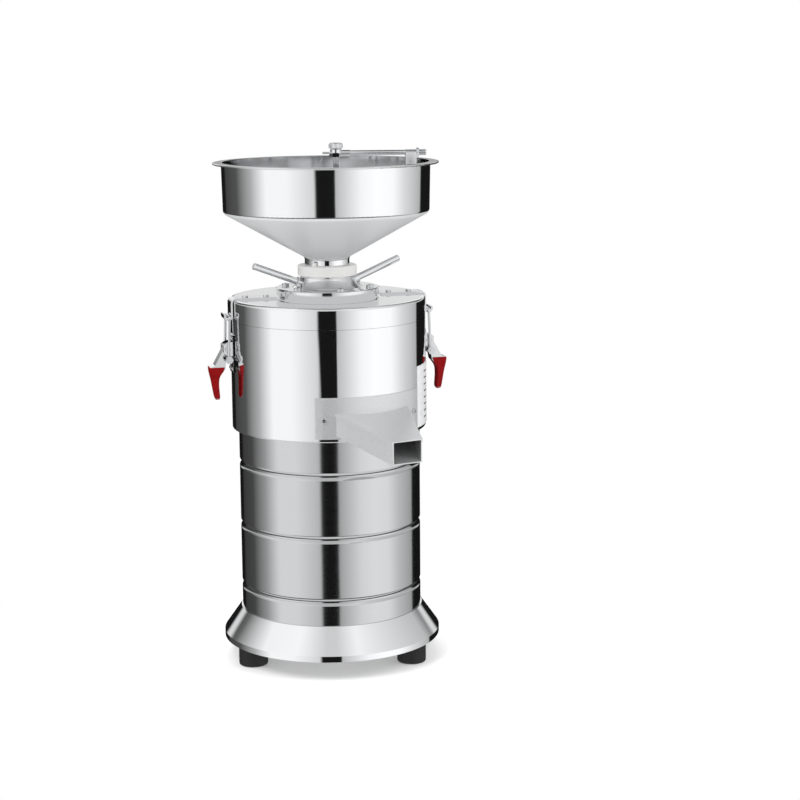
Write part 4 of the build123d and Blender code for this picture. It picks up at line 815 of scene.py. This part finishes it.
class MillPieces(bpy.types.PropertyGroup):
    """Driving sizes of the pieces, taken from the CAD."""

    drum_radius: bpy.props.FloatProperty(
        name="Drum radius", description="Outside of the grinding drum", default=0.131, unit="LENGTH"
    )
    screw_radius: bpy.props.FloatProperty(
        name="Chute screw head",
        description="Radius of the heads of the chute screws",
        default=0.0034,
        unit="LENGTH",
    )
    pivot_radius: bpy.props.FloatProperty(
        name="Latch pivot",
        description="Distance of the latch pivots from the axis",
        default=0.1385,
        unit="LENGTH",
    )
    pivot_level: bpy.props.FloatProperty(
        name="Latch level", description="Level of the latch pivots", default=0.4275, unit="LENGTH"
    )
    latch_turn: bpy.props.FloatProperty(
        name="Latch turn", description="Turn of the left latch, in degrees", default=-104.5
    )


class MillTap(bpy.types.PropertyGroup):
    """Driving sizes of the water tap, taken from the CAD."""

    turn: bpy.props.FloatProperty(
        name="Turn", description="Turn of the pipe from the X axis, in degrees", default=-27.0
    )
    depth: bpy.props.FloatProperty(
        name="Depth", description="How far the pipe lies from the axis", default=0.086, unit="LENGTH"
    )
    along: bpy.props.FloatProperty(
        name="Along", description="Place of the tap along the pipe", default=0.013, unit="LENGTH"
    )
    level: bpy.props.FloatProperty(
        name="Level", description="Level of the pipe's middle", default=0.6872, unit="LENGTH"
    )
    pipe_radius: bpy.props.FloatProperty(
        name="Pipe radius", description="Outside of the pipe", default=0.0035, unit="LENGTH"
    )
    block_along: bpy.props.FloatProperty(
        name="Block", description="Place of the pipe's block", default=0.1093, unit="LENGTH"
    )


class MILL_OT_chute_screws(bpy.types.Operator):
    """Adds the pan-head screws of the chute plate, with cross recesses"""

    bl_idname = "mill.chute_screws"
    bl_label = "Chute screws"

    def execute(self, context):
        sizes = context.scene.mill_pieces
        lowest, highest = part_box("chute_screws")
        level = (lowest[2] + highest[2]) / 2
        height = 0.0024
        plate_face = sizes.drum_radius + 0.0015
        heads = []
        for turn in (-30.0, 30.0):
            head = pan_head(sizes.screw_radius, height)
            heads.append(settle(head, outward(turn, plate_face, level)))
        screws = complete(join(heads), "chute_screw_heads", "machine", "fastener_steel")
        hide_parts("chute_screws")
        return {"FINISHED"}


class MILL_OT_latch_screws(bpy.types.Operator):
    """Adds the four pan-head screws of each latch base"""

    bl_idname = "mill.latch_screws"
    bl_label = "Latch base screws"

    def execute(self, context):
        sizes = context.scene.mill_pieces
        lowest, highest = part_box("latch_bases")
        edge = 0.005
        radius = 0.0024
        height = 0.0015
        base_face = sizes.drum_radius + 0.00205
        heads = []
        for turn in (sizes.latch_turn, sizes.latch_turn + 180.0):
            for aside in (-3.1, 3.1):
                for level in (lowest[2] + edge, highest[2] - edge):
                    head = pan_head(radius, height)
                    heads.append(settle(head, outward(turn + aside, base_face, level)))
        complete(join(heads), "latch_base_screws", "machine", "fastener_steel")
        return {"FINISHED"}


class MILL_OT_grips(bpy.types.Operator):
    """Adds the dipped grips of the latch levers"""

    bl_idname = "mill.grips"
    bl_label = "Latch grips"

    # Level under the pivot, front and back reach from the pivot, and width, from the top down.
    sections = (
        (0.0245, 0.0045, 0.0245, 0.0212),
        (0.0258, 0.0048, 0.0245, 0.0212),
        (0.0306, 0.0066, 0.0242, 0.0206),
        (0.0360, 0.0114, 0.0230, 0.0182),
        (0.0440, 0.0126, 0.0213, 0.0166),
        (0.0540, 0.0122, 0.0197, 0.0160),
        (0.0625, 0.0113, 0.0183, 0.0154),
        (0.0665, 0.0112, 0.0175, 0.0138),
        (0.0688, 0.0126, 0.0162, 0.0080),
    )

    def execute(self, context):
        sizes = context.scene.mill_pieces
        for side, turn in (("left", sizes.latch_turn), ("right", sizes.latch_turn + 180.0)):
            grip = self.add_grip()
            settle(grip, upright(turn, sizes.pivot_radius, sizes.pivot_level))
            complete(grip, f"{side}_dipped_grip", f"{side}_lever", "red_vinyl", 60.0)
            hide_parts(f"{side}_latch_grip")
        return {"FINISHED"}

    def add_grip(self):
        """One grip with its pivot at the origin, X outwards: a collar drawn down to the tip."""
        drop, front, back, width = self.sections[0]
        thickness = 0.0004
        grip = block(
            (back - front, width, thickness), ((front + back) / 2, 0.0, thickness / 2 - drop)
        )
        bpy.ops.object.mode_set(mode="EDIT")
        bpy.ops.mesh.select_all(action="DESELECT")
        bpy.ops.mesh.select_mode(type="FACE")
        bpy.ops.object.mode_set(mode="OBJECT")
        for face in grip.data.polygons:
            face.select = face.normal.z < -0.5
        bpy.ops.object.mode_set(mode="EDIT")
        for (drop, front, back, width), (below, next_front, next_back, next_width) in zip(
            self.sections, self.sections[1:]
        ):
            shift = (next_front + next_back - front - back) / 2
            bpy.ops.mesh.extrude_region_move(
                TRANSFORM_OT_translate={"value": (shift, 0.0, drop - below)}
            )
            bpy.ops.transform.resize(
                value=((next_back - next_front) / (back - front), next_width / width, 1.0)
            )
        bpy.ops.object.mode_set(mode="OBJECT")
        soften(grip, 0.0024, 2, 50.0)
        modify(grip, "SUBSURF", levels=2, render_levels=2)
        return grip


PIPE_WALL = 0.0008
PIPE_PITCH = 0.0015


class MILL_OT_tap(bpy.types.Operator):
    """Adds the tap's knob and the thread on its spigot"""

    bl_idname = "mill.tap"
    bl_label = "Water tap"

    def execute(self, context):
        tap = context.scene.mill_tap
        self.add_knob(tap)
        self.add_spigot(tap)
        return {"FINISHED"}

    def add_knob(self, tap):
        lowest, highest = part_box("tap_knob")
        radius = 0.009
        height = 0.0078
        knob = cylinder(radius, 0.0, height, 96)
        soften(knob, 0.0024, 6)
        flutes = 12
        flute_radius = 0.0014
        for flute in range(flutes):
            out = direction(360.0 / flutes * flute) * (radius + 0.0009)
            cut(knob, cylinder(flute_radius, -height, 2 * height, 24, out.x, out.y))
        soften(knob, 0.0002, 2, 50.0)
        settle(knob, over_hopper(tap, tap.along, highest[2] - height))
        complete(knob, "tap_knob_turned", "tap", "machined_steel")
        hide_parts("tap_knob")

    def add_spigot(self, tap):
        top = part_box("tap_body")[0][2] + 0.0182
        length = 0.0212
        turns = 13
        root = tap.pipe_radius + 0.0003
        spigot = tube(tap.pipe_radius + 0.0004, tap.pipe_radius - PIPE_WALL, -length, 0.0, 0.0002)
        ridge = thread(root, PIPE_PITCH, -length + PIPE_PITCH, turns)
        joined = join([spigot, ridge])
        settle(joined, over_hopper(tap, tap.along, top))
        complete(joined, "tap_spigot_thread", "hopper_set", "fastener_steel", 30.0)


class MILL_OT_water_pipe(bpy.types.Operator):
    """Adds the water pipe with its threaded end, its block on the rim and the lock nut"""

    bl_idname = "mill.water_pipe"
    bl_label = "Water pipe"

    def execute(self, context):
        tap = context.scene.mill_tap
        self.add_pipe(tap)
        self.add_block(tap)
        self.add_nut(tap)
        return {"FINISHED"}

    def add_pipe(self, tap):
        start = tap.along + 0.012
        length = tap.block_along + 0.0196 - start
        turns = 17
        pipe = tube(tap.pipe_radius, tap.pipe_radius - PIPE_WALL, 0.0, length, 0.0002)
        ridge = thread(tap.pipe_radius, PIPE_PITCH, length - (turns + 1) * PIPE_PITCH, turns)
        joined = join([pipe, ridge])
        lying = Matrix.Rotation(math.pi / 2, 4, "Y")
        settle(joined, over_hopper(tap, start, tap.level) @ lying)
        complete(joined, "water_pipe_threaded", "hopper_set", "fastener_steel", 30.0)
        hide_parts("water_pipe")

    def add_block(self, tap):
        rim_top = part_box("hopper")[1][2]
        width, depth, height = 0.0137, 0.018, tap.level + 0.0005 - rim_top
        saddle = block((width, depth, height), (0.0, 0.0, height / 2))
        soften(saddle, 0.001, 3)
        settle(saddle, over_hopper(tap, tap.block_along, rim_top))
        complete(saddle, "pipe_block", "hopper_set", "satin_steel")
        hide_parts("rim_clamp", "clamp_screw")

    def add_nut(self, tap):
        corner_radius = 0.0066
        height = 0.0034
        nut = cylinder(corner_radius, 0.0, height, 6)
        cut(nut, cylinder(tap.pipe_radius, -0.01, 0.01))
        soften(nut, 0.0004, 2)
        lying = Matrix.Rotation(math.pi / 2, 4, "Y")
        settle(nut, over_hopper(tap, tap.block_along + 0.0069, tap.level) @ lying)
        complete(nut, "pipe_lock_nut", "hopper_set", "fastener_steel")


class MILL_OT_plate_bars(bpy.types.Operator):
    """Adds the raised plain bars of the small plate on the drum"""

    bl_idname = "mill.plate_bars"
    bl_label = "Plate bars"

    def execute(self, context):
        sizes = context.scene.mill_pieces
        lowest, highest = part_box("drum_plate")
        count = 8
        margin = 0.010
        step = (highest[2] - lowest[2] - 2 * margin) / (count - 1)
        size = (0.014, 0.0016, 0.0006)
        plate_turn = 50.0
        plate_face = sizes.drum_radius + 0.00095
        bars = []
        for row in range(count):
            bar = block(size, (0.0, 0.0, 0.0))
            soften(bar, 0.00025, 2)
            level = lowest[2] + margin + row * step
            bars.append(settle(bar, outward(plate_turn, plate_face, level)))
        complete(join(bars), "plate_bars", "machine", "black_plastic")
        return {"FINISHED"}


class MILL_OT_switch_marks(bpy.types.Operator):
    """Adds the on and off marks beside the rear rocker"""

    bl_idname = "mill.switch_marks"
    bl_label = "Switch marks"

    def execute(self, context):
        lowest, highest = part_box("switch_housing")
        switch_turn = 150.0
        face = 0.12525
        inset = 0.0033
        bpy.ops.mesh.primitive_torus_add(
            major_radius=0.0014, minor_radius=0.0003, major_segments=32, minor_segments=10
        )
        ring = settle(bpy.context.object, outward(switch_turn, face, lowest[2] + inset))
        line = block((0.0007, 0.0030, 0.0005), (0.0, 0.0, 0.0))
        soften(line, 0.0002, 2)
        settle(line, outward(switch_turn, face, highest[2] - inset))
        complete(join([ring, line]), "switch_marks", "machine", "white_nylon")
        return {"FINISHED"}


class MILL_PT_panel(bpy.types.Panel):
    """Lists the steps in the sidebar of the 3D view"""

    bl_idname = "MILL_PT_panel"
    bl_label = "Nut Butter Mill"
    bl_space_type = "VIEW_3D"
    bl_region_type = "UI"
    bl_category = "Mill"

    def draw(self, context):
        for step in STEPS:
            self.layout.operator(step.bl_idname)


STEPS = (
    MILL_OT_stage,
    MILL_OT_finishes,
    MILL_OT_chute_screws,
    MILL_OT_latch_screws,
    MILL_OT_grips,
    MILL_OT_tap,
    MILL_OT_water_pipe,
    MILL_OT_plate_bars,
    MILL_OT_switch_marks,
)
CLASSES = (MillStudio, MillFinishes, MillPieces, MillTap) + STEPS + (MILL_PT_panel,)


def register():
    for each in CLASSES:
        bpy.utils.register_class(each)
    bpy.types.Scene.mill_studio = bpy.props.PointerProperty(type=MillStudio)
    bpy.types.Scene.mill_finishes = bpy.props.PointerProperty(type=MillFinishes)
    bpy.types.Scene.mill_pieces = bpy.props.PointerProperty(type=MillPieces)
    bpy.types.Scene.mill_tap = bpy.props.PointerProperty(type=MillTap)


def unregister():
    del bpy.types.Scene.mill_tap
    del bpy.types.Scene.mill_pieces
    del bpy.types.Scene.mill_finishes
    del bpy.types.Scene.mill_studio
    for each in reversed(CLASSES):
        bpy.utils.unregister_class(each)


def main():
    register()
    bpy.ops.object.select_all(action="DESELECT")
    bpy.ops.mill.stage()
    bpy.ops.mill.finishes()
    bpy.ops.mill.chute_screws()
    bpy.ops.mill.latch_screws()
    bpy.ops.mill.grips()
    bpy.ops.mill.tap()
    bpy.ops.mill.water_pipe()
    bpy.ops.mill.plate_bars()
    bpy.ops.mill.switch_marks()


if __name__ == "__main__":
    main()
